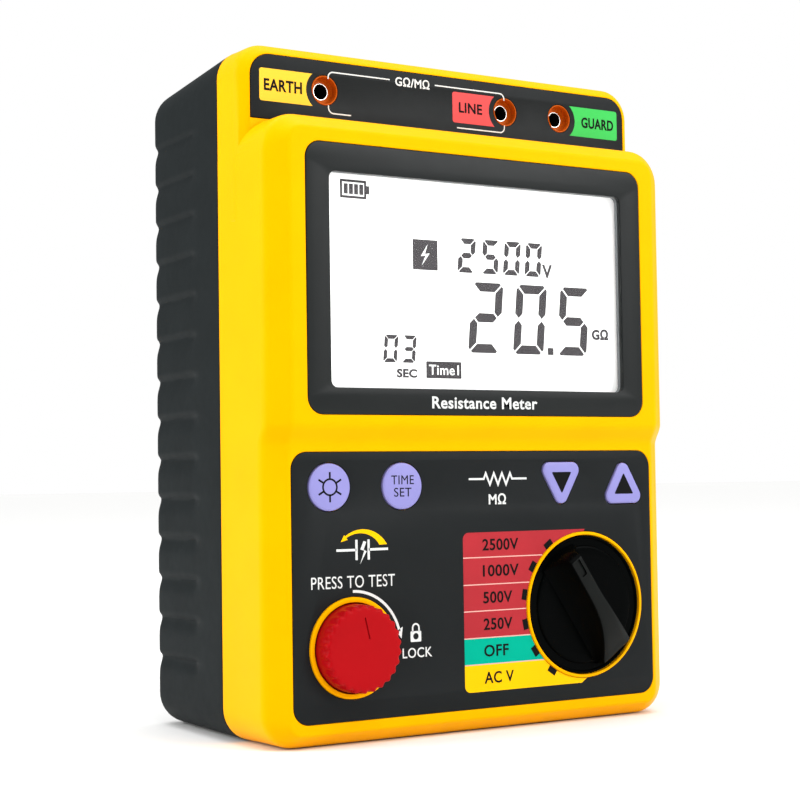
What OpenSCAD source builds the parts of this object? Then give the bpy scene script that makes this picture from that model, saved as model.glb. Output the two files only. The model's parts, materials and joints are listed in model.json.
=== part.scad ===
// Insulation resistance tester: a two-shell hand-held instrument that stands upright on its bottom face.
// Frame: X to the right, Y to the back, Z up. The origin is under the middle of the outer box.

/* [Case] */
// Width across the parting line between the two shells
case_w = 146.6; // [140:0.2:150]
// Height from the bottom face to the top
case_h = 203.2; // [200:0.2:206]
// Wall thickness of both shells
wall = 2.6; // [2:0.1:3.2]
// Corner radius at the bottom of the outline
corner_bottom = 10; // [8:0.5:14]
// Corner radius at the top of the outline
corner_top = 9.5; // [8:0.5:14]
// Corner radius at the top of the display block
block_corner = 11; // [8:0.5:14]
// Height of the raised display block above the bottom
block_h = 180.4; // [178:0.1:184]

/* [Depths] */
// Front face of the display bezel
y_display = -40.9; // [-42:0.1:-40]
// Front face of the control panel
y_control = -38.2; // [-39:0.1:-37.5]
// Front face of the terminal panel on the set-back deck
y_deck = -23.8; // [-25:0.1:-22]
// Parting line between the two shells
y_part = -10.2; // [-12:0.1:-8]
// Flat back face of the rear case
y_back = 44.7; // [42:0.1:47]
// How far the rear shell's sides lean in by the time they reach the back
side_draft = 3.3; // [2:0.1:4]
// How far the rear shell's top comes down by the time it reaches the back
top_draft = 3.8; // [2:0.1:5]

/* [Display] */
// Half width of the display bezel
bezel_hw = 61.2; // [58:0.1:63]
// Bottom of the display bezel
bezel_z0 = 94.3; // [93:0.1:96]
// Top of the display bezel
bezel_z1 = 172.2; // [170:0.1:174]
// Half width of the window opening
window_hw = 53.4; // [50:0.1:55]
// Bottom of the window opening
window_z0 = 102; // [101:0.1:106]
// Top of the window opening
window_z1 = 164; // [160:0.1:166]

/* [Selector knob] */
// Knob centre, to the right of the middle
knob_x = 38.4; // [36:0.1:40]
// Knob centre, above the bottom
knob_z = 35.9; // [34:0.1:38]
// Outer radius of the collar around the knob
knob_collar_r = 22.6; // [22:0.1:24]
// Radius of the knob disc
knob_r = 20.8; // [20:0.1:21]
// Height of the grip bar above the control panel
grip_h = 8.5; // [7:0.1:10]
// Angle of the first switch position above the left horizontal
knob_rest_angle = 56.25; // [50:0.25:60]
// Angle between two switch positions
knob_step = 22.5; // [20:0.5:30]

/* [Test button] */
// Button centre, to the left of the middle
button_x = -45.8; // [-48:0.1:-44]
// Button centre, above the bottom
button_z = 27.6; // [26:0.1:29]
// Outer radius of the collar around the button
button_collar_r = 14.5; // [14:0.1:15]
// Radius of the red cap
cap_r = 12.5; // [12:0.1:12.6]
// How far the cap stands proud of the control panel
cap_proud = 6.4; // [6:0.1:8]
// Travel of the test button
button_travel = 4; // [2:0.5:4]

/* [Keys] */
// Height of the row of keys above the bottom
keys_z = 73.6; // [72:0.1:75]
// Radius of the two round keys
key_r = 6.8; // [6:0.1:7]
// Travel of a key
key_travel = 0.6; // [0.3:0.1:0.7]

/* [Sockets] */
// Height of the three 4 mm sockets above the bottom
socket_z = 191.2; // [189:0.1:192]
// Radius of the bore of a socket sleeve
socket_bore_r = 2; // [1.9:0.05:2.1]

/* [Battery] */
// Diameter of an AA cell
cell_d = 14.2; // [13.5:0.1:14.5]
// Length of an AA cell with its button
cell_l = 50.5; // [49.5:0.1:50.5]
// Distance between two rows of cells
cell_pitch = 15; // [14.8:0.1:15.4]

/* [Hidden] */
$fn = 48;

// Colours
yellow = "#ffd200";
charcoal = "#2f3333";
panel_grey = "#33383a";
lavender = "#aaa6ec";
board_green = "#1f6b3a";
brass = "#c9a44c";
steel = "#b9bcc0";

// Small overlap that keeps unions and cuts clean
eps = 0.01;
// Clearance between pieces that move past each other
gap = 0.3;
// How much thicker a wire is at a bend
wire_bend = 1.2;
// Radial clearance of a running fit
run_fit = 0.06;

// Case outline
half_w = case_w / 2;
front_hw = half_w - 0.5;
chamfer_x = 6.3;
chamfer_y = 4.7;
deck_chamfer_x = 2.8;
deck_chamfer_y = 2.9;
edge_bottom = 3.8;
edge_top = 4.2;
back_corner_r = 7;
slope_z0 = 85.5;
slope_z1 = 92;
inset_turn = tan(22.5);

// Panels: thin plates set into recesses of the front case
panel_t = 0.8;
bezel_t = 1.6;
control_hw = 65.5;
control_z0 = 6.9;
control_z1 = 83.6;
terminal_hw = 69.4;
terminal_z1 = 199.9;
panel_corner = 5;
terminal_corner = 6.5;
fit = 0.1;
bezel_back = y_display + bezel_t;
control_back = y_control + panel_t;
terminal_back = y_deck + panel_t;
skin_back = control_back + wall;

// Display stack
lcd_y0 = y_display + 3.9;
lens_t = 0.8;
lens_gap = 0.3;
lens_back = lcd_y0 - lens_gap;
lens_front = lens_back - lens_t;
lens_hw = window_hw + 2;
lcd_t = 2.6;
backlight_t = 3.2;
lcd_margin = 2.6;
lcd_y1 = lcd_y0 + lcd_t;
backlight_y1 = lcd_y1 + backlight_t;

// Circuit boards
board_t = 1.6;
front_board_y = -20.9;
front_board_hw = 60;
front_board_z0 = 19.5;
front_board_z1 = 174;
hv_board_y = 9;
hv_board_hw = 56;
hv_board_z0 = 112;
hv_board_z1 = 182;
core_x0 = -46;
core_x1 = -14;
core_y0 = -9;
core_z0 = 132;
core_z1 = 160;
core_leg = 5;
core_window_w = 7;
winding_y0 = -12;
multiplier_x = [2, 42];
multiplier_y0 = -6;
multiplier_z = [146, 172];
capacitor_x = [4, 18, 32];
capacitor_z = 134;
capacitor_r = 5.5;
capacitor_l = 9;
relay_x = [-46, -22];
relay_y0 = -7;
relay_z = [116, 127];
fuse_z = 166;
fuse_x = -44;
fuse_d = 5;
fuse_l = 20;
fuse_y = hv_board_y - 5;
fuse_clip_x = [-43, -29];
fuse_clip_w = 4;
buzzer_x = 30;
buzzer_z = 140;
buzzer_r = 8;
buzzer_h = 8;
front_screws = [[-52, 88], [52, 88], [-56, 170.5], [56, 170.5], [0, 23], [-56, 46]];
hv_screws = [[-52, 116], [52, 116], [-52, 178], [52, 178]];
screw_r = 1.25;
switch_body_t = 2;
switch_front = front_board_y - switch_body_t;

// Keys
key_x = [-53.3, -28.7, 29.8, 54.5];
key_proud = 0.6;
key_front = y_control - key_proud;
key_flange = 1.2;
key_tri = 5.2;
key_tri_r = 2.5;
key_tri_shift = 1.5;
stem_end = switch_front - key_travel - 0.2;

// Selector knob and its switch
collar_proud = 0.6;
knob_well_r = knob_r + gap;
knob_front = y_control - 0.2;
knob_t = 3;
knob_back = knob_front + knob_t;
well_floor = knob_back + 0.4;
well_back = well_floor + wall;
shaft_r = 3;
shaft_y0 = knob_front + 1;
shaft_y1 = -23.4;
housing_r = 17;
housing_y0 = well_back + gap;
bushing_r = 4.5;
rotor_r = 12;
rotor_y0 = housing_y0 + 2.2;
rotor_y1 = rotor_y0 + 3;
wiper_y1 = rotor_y1 + 1;
wiper_reach = 10;
wiper_hw = 1.5;
wiper_hub_r = 5;
wafer_y0 = wiper_y1 + gap + 0.2;
notch_count = 360 / knob_step;
ball_r = 1.1;
ball_at = rotor_r + gap + ball_r;

// Test button
cap_front = y_control - cap_proud;
button_well_r = cap_r + 0.5;
cap_skirt = y_control + 3.2;
button_floor = cap_skirt + button_travel + 0.4;
button_floor_t = 2;
button_floor_back = button_floor + button_floor_t;
plunger_r = 4 - run_fit;
spigot_r = 2.5;
flange_y = y_control + 0.2;
flange_t = 1;
flange_r = 6.5;
clip_t = 0.6;
clip_y = button_floor_back + gap;
plunger_end = clip_y + clip_t + 0.9;

// Sockets
socket_names = ["earth", "line", "guard"];
socket_x = [-44.5, 21.6, 43.1];
socket_nose_r = 4.45;
socket_cup_r = 4;
socket_cup_t = 2.6;
sleeve_r = 2.75;
sleeve_l = 22;
nut_t = 3;
nut_r = 8.5;
thread_r = 5.6;
nut_y = terminal_back + wall;

// Battery compartment
row_count = 4;
cells_z0 = 43.5;
cell_x = 26.2;
cell_y = 32.4;
pad_t = 2;
pad_y = y_back - wall - pad_t;
tray_hw = 57;
tray_wall = 1.6;
tray_floor = cell_y - cell_d / 2 - 0.7;
cover_hw = 56.7;
cover_z0 = 29;
cover_z1 = 105;
cover_t = 2.3;
cover_y = y_back - cover_t;
cover_screw_x = 45;
cover_screw_z = 101;
tray_wire_y = 30;
pair_x = 3;
pair_r = 0.9;
lead_r = 1;
opening_hw = 54;
opening_z0 = 36;
opening_z1 = 96;

// Case screws, grooves and feet
case_screw_x = 60;
case_screw_z = [13, 188];
counterbore_y = 0;
groove_count = 14;
groove_z0 = 21.3;
groove_pitch = 12.3;
groove_y = 8.5;
groove_r = 3.2;
groove_depth = 0.9;
foot_x = 44;
foot_z = [15, 184];
foot_r = 6;
foot_proud = 2;
foot_sink = 0.8;

// ---------- helpers ----------

// Draws its flat children, given as X and Z, from y0 to y1
module along_y(y0, y1) {
    translate([0, y1, 0]) rotate([90, 0, 0]) linear_extrude(y1 - y0) children();
}

// Draws its flat children, given as Y and Z, from x0 to x1
module along_x(x0, x1) {
    translate([x0, 0, 0]) rotate([90, 0, 90]) linear_extrude(x1 - x0) children();
}

// Draws its flat children, given as X and Y, from z0 to z1
module along_z(z0, z1) {
    translate([0, 0, z0]) linear_extrude(z1 - z0) children();
}

// Cylinder along Y
module rod_y(r, y0, y1, x, z, sides = $fn) {
    translate([x, y1, z]) rotate([90, 0, 0]) cylinder(r = r, h = y1 - y0, $fn = sides);
}

// Rectangle with round corners, one radius at the bottom and one at the top
module plate(x0, x1, z0, z1, rb, rt) {
    translate([x0, z0 + rb]) square([x1 - x0, z1 - z0 - rb - rt]);
    translate([x0 + rb, z0]) square([x1 - x0 - 2 * rb, rb + eps]);
    translate([x0 + rt, z1 - rt - eps]) square([x1 - x0 - 2 * rt, rt + eps]);
    if (rb > 0) for (x = [x0 + rb, x1 - rb]) translate([x, z0 + rb]) circle(rb);
    if (rt > 0) for (x = [x0 + rt, x1 - rt]) translate([x, z1 - rt]) circle(rt);
}

// Block between two corners
module block(a, b) {
    translate(a) cube(b - a);
}

// Triangle of round corners: sign 1 points up, -1 points down
module round_triangle(x, z, side, r, sign) {
    corners = [for (i = [0:2]) let (a = 90 * sign + 120 * i) [x + side * cos(a), z + side * sin(a)]];
    polygon(corners);
    for (i = [0:2]) {
        a = corners[i];
        b = corners[(i + 1) % 3];
        run = b - a;
        translate(a) rotate(atan2(run[1], run[0])) translate([0, -r]) square([norm(run), 2 * r]);
        translate(a) circle(r);
    }
}

// Round wire through a list of points
module wire(points, r) {
    for (i = [0:len(points) - 2]) {
        run = points[i + 1] - points[i];
        translate(points[i])
            rotate([0, acos(run[2] / norm(run)), atan2(run[1], run[0])])
                cylinder(r = r, h = norm(run), $fn = 16);
        // a solder bead or bend a little thicker than the wire
        if (i > 0) translate(points[i]) sphere(r * wire_bend, $fn = 16);
    }
}

// Helical spring along +Z: coil radius, wire radius, height and number of turns
module coil(r, wire_r, h, turns, sides = 8, steps = 16) {
    rings = floor(turns * steps);
    pts = [for (i = [0:rings]) for (j = [0:sides - 1])
        let (a = 360 * i / steps, b = 360 * j / sides, rr = r + wire_r * cos(b))
        [rr * cos(a), rr * sin(a), wire_r + (h - 2 * wire_r) * i / rings + wire_r * sin(b)]];
    walls = [for (i = [0:rings - 1]) for (j = [0:sides - 1])
        let (k = (j + 1) % sides)
        [i * sides + j, i * sides + k, (i + 1) * sides + k, (i + 1) * sides + j]];
    ends = [[for (j = [sides - 1:-1:0]) j], [for (j = [0:sides - 1]) rings * sides + j]];
    polyhedron(pts, concat(walls, ends));
}

// ---------- shells ----------

// Half outline of a front shell section, seen from above, moved in by t
module front_plan(y_face, cx, cy, t) {
    turn = inset_turn * t;
    right = [[half_w - t, y_part + (t > 0 ? 1 : 0)], [front_hw - t, y_face + cy + turn],
        [front_hw - cx - turn, y_face + t]];
    left = [for (i = [2:-1:0]) [-right[i][0], right[i][1]]];
    polygon(concat(right, left));
}

// Outline of the case seen from the front, moved in by t
module case_outline(t) {
    plate(-half_w + t, half_w - t, t, case_h - t, corner_bottom - t, corner_top - t);
}

// Side view of the deck section, moved in by t
module deck_side(t) {
    turn = inset_turn * t;
    y_end = y_part + (t > 0 ? 1 : 0);
    polygon([[y_end, t], [y_deck + t, t], [y_deck + t, case_h - deck_chamfer_x - turn],
        [y_deck + deck_chamfer_y + turn, case_h - t], [y_end, case_h - t]]);
}

// Side view of the control section, moved in by t
module control_side(t) {
    turn = inset_turn * t;
    y_end = y_part + (t > 0 ? 1 : 0);
    polygon([[y_end, t], [y_control + edge_bottom + turn, t], [y_control + t, edge_bottom + turn],
        [y_control + t, slope_z1], [y_end, slope_z1]]);
}

// Side view of the display section, moved in by t
module display_side(t) {
    turn = inset_turn * t;
    y_end = y_part + (t > 0 ? 1 : 0);
    polygon([[y_end, slope_z0 + t], [y_control + t, slope_z0 + t], [y_display + t, slope_z1 + t],
        [y_display + t, block_h - edge_top - turn], [y_display + edge_top + turn, block_h - t],
        [y_end, block_h - t]]);
}

// Solid shape of the front shell, moved in by t
module front_body(t) {
    y_end = y_part + (t > 0 ? 1 : 0);
    intersection() {
        along_y(y_deck, y_end) case_outline(t);
        along_z(0, case_h) front_plan(y_deck, deck_chamfer_x, deck_chamfer_y, t);
        along_x(-half_w, half_w) deck_side(t);
    }
    intersection() {
        along_y(y_control, y_end) case_outline(t);
        along_z(0, case_h) front_plan(y_control, chamfer_x, chamfer_y, t);
        along_x(-half_w, half_w) control_side(t);
    }
    intersection() {
        along_y(y_display, y_end)
            plate(-half_w + t, half_w - t, slope_z0, block_h - t, 0, block_corner - t);
        along_z(0, case_h) front_plan(y_display, chamfer_x, chamfer_y, t);
        along_x(-half_w, half_w) display_side(t);
    }
}

// Holes in the front skin and in the control panel for one key, enlarged by grow
module key_shape(i, grow) {
    if (i < 2) translate([key_x[i], keys_z]) circle(key_r + grow);
    if (i == 2) round_triangle(key_x[2], keys_z + key_tri_shift, key_tri, key_tri_r + grow, -1);
    if (i == 3) round_triangle(key_x[3], keys_z - key_tri_shift, key_tri, key_tri_r + grow, 1);
}

module front_case() {
    color(yellow) difference() {
        union() {
            difference() {
                front_body(0);
                front_body(wall);
            }
            // skin behind the bezel and the panels, which sit in recesses
            block([-bezel_hw - wall, bezel_back, bezel_z0 - wall],
                [bezel_hw + wall, bezel_back + wall, bezel_z1 + wall]);
            block([-control_hw, control_back, control_z0], [control_hw, skin_back, control_z1]);
            block([-terminal_hw, terminal_back, block_h - wall], [terminal_hw, nut_y, terminal_z1]);
            // collar and well of the knob
            rod_y(knob_collar_r, y_control - collar_proud, well_back, knob_x, knob_z);
            // collar and well of the test button
            rod_y(button_collar_r, y_control - collar_proud, button_floor_back, button_x, button_z);
            // posts for the front board and the case screws
            for (p = front_screws)
                rod_y(3, (p[1] > slope_z1 ? bezel_back : control_back) + eps, front_board_y, p[0], p[1]);
            for (x = [-case_screw_x, case_screw_x]) {
                rod_y(4.2, control_back + eps, y_part, x, case_screw_z[0]);
                rod_y(4.2, terminal_back + eps, y_part, x, case_screw_z[1]);
            }
        }
        // recesses of the bezel and the two panels
        along_y(y_display - 1, bezel_back)
            plate(-bezel_hw - fit, bezel_hw + fit, bezel_z0 - fit, bezel_z1 + fit,
                panel_corner, panel_corner);
        difference() {
            along_y(y_control - 1, control_back)
                plate(-control_hw - fit, control_hw + fit, control_z0 - fit, control_z1 + fit,
                    panel_corner, panel_corner);
            rod_y(knob_collar_r, y_control - 2, control_back + 1, knob_x, knob_z);
            rod_y(button_collar_r, y_control - 2, control_back + 1, button_x, button_z);
        }
        along_y(y_deck - 1, terminal_back)
            plate(-terminal_hw - fit, terminal_hw + fit, block_h, terminal_z1 + fit, 0, terminal_corner);
        // window
        along_y(y_display - 1, bezel_back + wall + 1)
            plate(-window_hw - lcd_margin - fit, window_hw + lcd_margin + fit, window_z0 - lcd_margin - fit,
                window_z1 + lcd_margin + fit, 1, 1);
        // key holes
        for (i = [0:3]) along_y(y_control - 1, skin_back + 1) key_shape(i, gap);
        // socket holes
        for (x = socket_x) rod_y(thread_r + fit, y_deck - 1, nut_y + 1, x, socket_z);
        // knob well and the hole for the switch bushing
        rod_y(knob_well_r, y_control - 2, well_floor, knob_x, knob_z);
        rod_y(bushing_r + fit, well_floor - 1, well_back + 1, knob_x, knob_z);
        // button well and plunger guide
        rod_y(button_well_r, y_control - 2, button_floor, button_x, button_z);
        rod_y(plunger_r + run_fit, button_floor - 1, button_floor_back + 1, button_x, button_z);
        // screw holes
        for (p = front_screws) rod_y(screw_r, front_board_y - 5, front_board_y + 1, p[0], p[1]);
        for (x = [-case_screw_x, case_screw_x], z = case_screw_z)
            rod_y(screw_r, y_part - 9, y_part + 1, x, z);
    }
}

// Height of the rear shell's top at a given depth
function rear_top(y) = case_h - top_draft * (y - y_part) / (y_back - y_part);
// Half width of the rear shell at a given depth
function rear_hw(y) = half_w - side_draft * (y - y_part) / (y_back - y_part);

// Solid shape of the rear shell, moved in by t
module rear_body(t) {
    r = back_corner_r - t;
    y_start = y_part - (t > 0 ? 1 : 0);
    y_end = y_back - t;
    hw_end = rear_hw(y_end) - t;
    top_end = rear_top(y_end) - t;
    intersection() {
        along_y(y_start, y_end) case_outline(t);
        along_z(0, case_h) {
            polygon([[half_w - t, y_start], [-half_w + t, y_start], [-rear_hw(y_end - r) + t, y_end - r],
                [rear_hw(y_end - r) - t, y_end - r]]);
            translate([-hw_end + r, y_end - r - eps]) square([2 * (hw_end - r), r + eps]);
            for (x = [-hw_end + r, hw_end - r]) translate([x, y_end - r]) circle(r);
        }
        along_x(-half_w, half_w) {
            polygon([[y_start, t], [y_end - r, t], [y_end - r, rear_top(y_end - r) - t],
                [y_start, case_h - t]]);
            translate([y_end - r - eps, r + t]) square([r + eps, top_end - 2 * r - t]);
            for (z = [r + t, top_end - r]) translate([y_end - r, z]) circle(r);
        }
    }
}

// One horizontal finger groove in the side of the rear shell
module groove(side, z) {
    lean = atan(side_draft / (y_back - y_part));
    at = rear_hw(groove_y) + groove_r - groove_depth;
    translate([side * at, groove_y, z]) rotate([-90, 0, side * lean])
        cylinder(r = groove_r, h = 60, $fn = 24);
}

module rear_case() {
    color(charcoal) difference() {
        union() {
            difference() {
                rear_body(0);
                rear_body(wall);
            }
            // thick frame that carries the battery cover and the tray
            block([-cover_hw - 3.3, pad_y, cover_z0 - 3], [cover_hw + 3.3, y_back - 1, cover_z1 + 3]);
            // screw towers, high voltage board posts and cover screw bosses
            for (x = [-case_screw_x, case_screw_x], z = case_screw_z) rod_y(4.8, y_part, y_back - 1, x, z);
            for (p = hv_screws) rod_y(3, hv_board_y + board_t, y_back - 1, p[0], p[1]);
            for (x = [-cover_screw_x, cover_screw_x]) rod_y(3, pad_y - 4, pad_y + eps, x, cover_screw_z);
        }
        for (side = [-1, 1], i = [0:groove_count - 1]) groove(side, groove_z0 + groove_pitch * i);
        // recess of the battery cover and the opening under it
        along_y(cover_y - 0.1, y_back + 1)
            plate(-cover_hw - gap, cover_hw + gap, cover_z0 - gap, cover_z1 + gap, 3.3, 3.3);
        along_y(pad_y - 1, y_back) plate(-opening_hw, opening_hw, opening_z0, opening_z1, 2, 2);
        // counterbores and screw holes
        for (x = [-case_screw_x, case_screw_x], z = case_screw_z) {
            rod_y(3.4, counterbore_y, y_back + 1, x, z);
            rod_y(1.7, y_part - 1, counterbore_y + 1, x, z);
        }
        for (p = hv_screws)
            rod_y(screw_r, hv_board_y + board_t - 1, hv_board_y + board_t + 6, p[0], p[1]);
        for (x = [-cover_screw_x, cover_screw_x]) rod_y(screw_r, pad_y - 3.5, y_back, x, cover_screw_z);
        // seats of the rubber feet
        for (x = [-foot_x, foot_x], z = foot_z) rod_y(foot_r + fit, y_back - foot_sink, y_back + 1, x, z);
    }
}

// ---------- display ----------

module display_bezel() {
    color(panel_grey) difference() {
        union() {
            along_y(y_display, bezel_back)
                plate(-bezel_hw, bezel_hw, bezel_z0, bezel_z1, panel_corner, panel_corner);
            along_y(y_display + 1, lens_front)
                plate(-window_hw - lcd_margin, window_hw + lcd_margin, window_z0 - lcd_margin,
                    window_z1 + lcd_margin, 1, 1);
        }
        along_y(y_display - 1, lcd_y0) plate(-window_hw, window_hw, window_z0, window_z1, 2, 2);
    }
}

module lcd_window() {
    color("#dfe8ea", 0.35)
        block([-lens_hw, lens_front, window_z0 - 2], [lens_hw, lens_back, window_z1 + 2]);
}

module lcd_module() {
    color("#f2f4f2")
        block([-lens_hw, lcd_y0, window_z0 - 2], [lens_hw, lcd_y1, window_z1 + 2]);
}

module lcd_backlight() {
    color("white")
        block([-lens_hw, lcd_y1, window_z0 - 2], [lens_hw, backlight_y1, window_z1 + 2]);
}

// ---------- panels ----------

module control_panel() {
    color(panel_grey) difference() {
        along_y(y_control, control_back)
            plate(-control_hw, control_hw, control_z0, control_z1, panel_corner, panel_corner);
        for (i = [0:3]) along_y(y_control - 1, control_back + 1) key_shape(i, gap);
        rod_y(knob_collar_r + fit, y_control - 1, control_back + 1, knob_x, knob_z);
        rod_y(button_collar_r + fit, y_control - 1, control_back + 1, button_x, button_z);
    }
}

module terminal_panel() {
    color(panel_grey) difference() {
        along_y(y_deck, terminal_back)
            plate(-terminal_hw, terminal_hw, block_h + fit, terminal_z1, 0, terminal_corner);
        for (x = socket_x) rod_y(socket_nose_r + fit, y_deck - 1, terminal_back + 1, x, socket_z);
    }
}

// ---------- sockets ----------

module socket_body(i) {
    cup_floor = y_deck + socket_cup_t;
    color("#c85010") difference() {
        union() {
            rod_y(socket_nose_r, y_deck, terminal_back, socket_x[i], socket_z);
            rod_y(thread_r, terminal_back, cup_floor + sleeve_l - 4, socket_x[i], socket_z);
        }
        rod_y(socket_cup_r, y_deck - 1, cup_floor, socket_x[i], socket_z);
        rod_y(sleeve_r, y_deck, cup_floor + sleeve_l, socket_x[i], socket_z);
    }
}

module socket_sleeve(i) {
    start = y_deck + socket_cup_t;
    color(brass) difference() {
        rod_y(sleeve_r, start, start + sleeve_l, socket_x[i], socket_z);
        rod_y(socket_bore_r, start - 1, start + sleeve_l + 1, socket_x[i], socket_z);
    }
}

module socket_nuts() {
    color(steel) for (x = socket_x) difference() {
        rod_y(nut_r, nut_y, nut_y + nut_t, x, socket_z, 6);
        rod_y(thread_r, nut_y - 1, nut_y + nut_t + 1, x, socket_z);
    }
}

// ---------- user interface board ----------

module front_board() {
    color(board_green) difference() {
        block([-front_board_hw, front_board_y, front_board_z0],
            [front_board_hw, front_board_y + board_t, front_board_z1]);
        for (p = front_screws)
            rod_y(screw_r + 0.3, front_board_y - 1, front_board_y + board_t + 1, p[0], p[1]);
    }
}

// One pan-head screw whose head rests on the plane y, driven towards dir
module board_screw(p, y, dir) {
    y_in = y + dir * 5.6;
    rod_y(screw_r, min(y, y_in), max(y, y_in), p[0], p[1]);
    rod_y(2.4, min(y, y - dir * 1.6), max(y, y - dir * 1.6), p[0], p[1]);
}

module board_screws() {
    color(steel) {
        for (p = front_screws) board_screw(p, front_board_y + board_t, -1);
        for (p = hv_screws) board_screw(p, hv_board_y, 1);
    }
}

module key_switches() {
    color("#202020") for (x = key_x)
        block([x - 3, switch_front, keys_z - 3], [x + 3, front_board_y, keys_z + 3]);
}

module key(i) {
    color(lavender) {
        along_y(key_front, skin_back + gap) key_shape(i, 0);
        along_y(skin_back + gap, skin_back + gap + key_flange) key_shape(i, 1.4);
        rod_y(2, skin_back + gap, stem_end, key_x[i], keys_z);
    }
}

// ---------- selector knob and switch ----------

// Grip bar in the knob's own plane: pointer end at +X, tail at -X
module grip() {
    rotate([90, 0, 0]) hull() {
        for (s = [-1, 1]) {
            translate([17, 2.2 * s, 0]) cylinder(r = 1.6, h = eps, $fn = 24);
            translate([-16, 6 * s, 0]) cylinder(r = 1.6, h = eps, $fn = 24);
        }
        translate([16.6, 0, grip_h - 0.6]) cylinder(r = 2.1, h = 0.4, $fn = 24);
        translate([-1, 0, grip_h - 0.6]) cylinder(r = 2.6, h = 0.4, $fn = 24);
        for (s = [-1, 1]) translate([-15, 5 * s, 2.4]) cylinder(r = 1.4, h = 0.4, $fn = 24);
    }
}

module rotary_knob() {
    color("#0d0d0e") difference() {
        union() {
            rod_y(knob_r, knob_front, knob_back, knob_x, knob_z);
            translate([knob_x, knob_front + eps, knob_z]) rotate([0, 180 + knob_rest_angle, 0]) grip();
        }
        // shallow step around the rim
        difference() {
            rod_y(knob_r + 1, knob_front - 1, knob_front + 0.8, knob_x, knob_z);
            rod_y(18, knob_front - 2, knob_front + 1, knob_x, knob_z);
        }
        rod_y(shaft_r, shaft_y0, knob_back + 1, knob_x, knob_z);
    }
}

module switch_shaft() {
    color(steel) rod_y(shaft_r, shaft_y0, shaft_y1, knob_x, knob_z);
}

module switch_rotor() {
    color("#d8d2c0") difference() {
        rod_y(rotor_r, rotor_y0, rotor_y1, knob_x, knob_z);
        rod_y(shaft_r, rotor_y0 - 1, rotor_y1 + 1, knob_x, knob_z);
        for (i = [0:notch_count - 1]) {
            a = knob_rest_angle + knob_step * i;
            rod_y(ball_r, rotor_y0 - 1, rotor_y1 + 1, knob_x - (rotor_r + 0.4) * cos(a),
                knob_z + (rotor_r + 0.4) * sin(a), 24);
        }
    }
}

module switch_wiper() {
    color(brass) difference() {
        union() {
            translate([knob_x, rotor_y1, knob_z]) rotate([0, knob_rest_angle, 0])
                block([-wiper_reach, 0, -wiper_hw], [wiper_reach, wiper_y1 - rotor_y1, wiper_hw]);
            rod_y(wiper_hub_r, rotor_y1, wiper_y1, knob_x, knob_z);
        }
        rod_y(shaft_r, rotor_y1 - 1, wiper_y1 + 1, knob_x, knob_z);
    }
}

module switch_housing() {
    color("#3a3a3a") difference() {
        union() {
            rod_y(housing_r, housing_y0, wafer_y0, knob_x, knob_z);
            rod_y(bushing_r, well_floor + 0.2, housing_y0 + eps, knob_x, knob_z);
        }
        rod_y(rotor_r + gap, rotor_y0 - gap, wafer_y0 + 1, knob_x, knob_z);
        rod_y(shaft_r + run_fit, well_floor - 1, rotor_y0, knob_x, knob_z);
        // pocket of the detent ball and its spring
        block([knob_x - 1.4, rotor_y0 - gap, knob_z + rotor_r - 2],
            [knob_x + 1.4, rotor_y0 + 3, knob_z + housing_r - 0.8]);
    }
}

module switch_wafer() {
    color("#8a5a2a") difference() {
        rod_y(housing_r, wafer_y0, front_board_y, knob_x, knob_z);
        rod_y(shaft_r + gap, wafer_y0 - 1, front_board_y + 1, knob_x, knob_z);
    }
}

module detent_ball() {
    color(steel) translate([knob_x, rotor_y0 + 1.4, knob_z + ball_at]) sphere(ball_r);
}

module detent_spring() {
    color(steel) translate([knob_x, rotor_y0 + 1.4, knob_z + ball_at + ball_r])
        coil(0.8, 0.15, housing_r - 0.8 - ball_at - ball_r, 3, 6, 12);
}

// ---------- test button ----------

module test_cap() {
    color("#c4121c") difference() {
        translate([button_x, cap_skirt, button_z]) rotate([90, 0, 0])
            cylinder(r1 = cap_r + 0.2, r2 = cap_r, h = cap_skirt - cap_front);
        rod_y(cap_r - 1.8, cap_front + 1.8, cap_skirt + 1, button_x, button_z);
        // scallops around the face
        for (i = [0:23]) rod_y(0.8, cap_front - 1, cap_front + 2, button_x + (cap_r + 0.35) * cos(15 * i),
            button_z + (cap_r + 0.35) * sin(15 * i), 16);
    }
    // hub that turns on the plunger's spigot
    color("#c4121c") difference() {
        rod_y(4.6, cap_front + 1.7, flange_y - gap, button_x, button_z);
        rod_y(spigot_r + run_fit, cap_front + 1.8, flange_y, button_x, button_z);
    }
}

module test_plunger() {
    color("#e8e4da") difference() {
        union() {
            rod_y(spigot_r, cap_front + 2, flange_y + eps, button_x, button_z);
            rod_y(flange_r, flange_y, flange_y + flange_t, button_x, button_z);
            rod_y(plunger_r, flange_y + eps, plunger_end, button_x, button_z);
        }
        // groove of the retaining clip
        difference() {
            rod_y(plunger_r + 1, clip_y, clip_y + clip_t, button_x, button_z);
            rod_y(3.1, clip_y - 1, clip_y + clip_t + 1, button_x, button_z);
        }
    }
}

module test_clip() {
    color(steel) difference() {
        rod_y(5.6, clip_y, clip_y + clip_t, button_x, button_z);
        rod_y(3.1, clip_y - 1, clip_y + clip_t + 1, button_x, button_z);
        block([button_x - 2.6, clip_y - 1, button_z - 8], [button_x + 2.6, clip_y + clip_t + 1, button_z]);
    }
}

module test_spring() {
    free_l = button_floor - flange_y - flange_t;
    color(steel) translate([button_x, button_floor, button_z]) rotate([90, 0, 0]) coil(5, 0.35, free_l, 3.5);
}

module test_switch() {
    color("#202020") {
        block([button_x - 6, switch_front + 0.4, button_z - 6], [button_x + 6, front_board_y, button_z + 6]);
        rod_y(1.8, switch_front + 0.1, switch_front + 0.4 + eps, button_x, button_z);
    }
}

// ---------- high voltage board ----------

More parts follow.
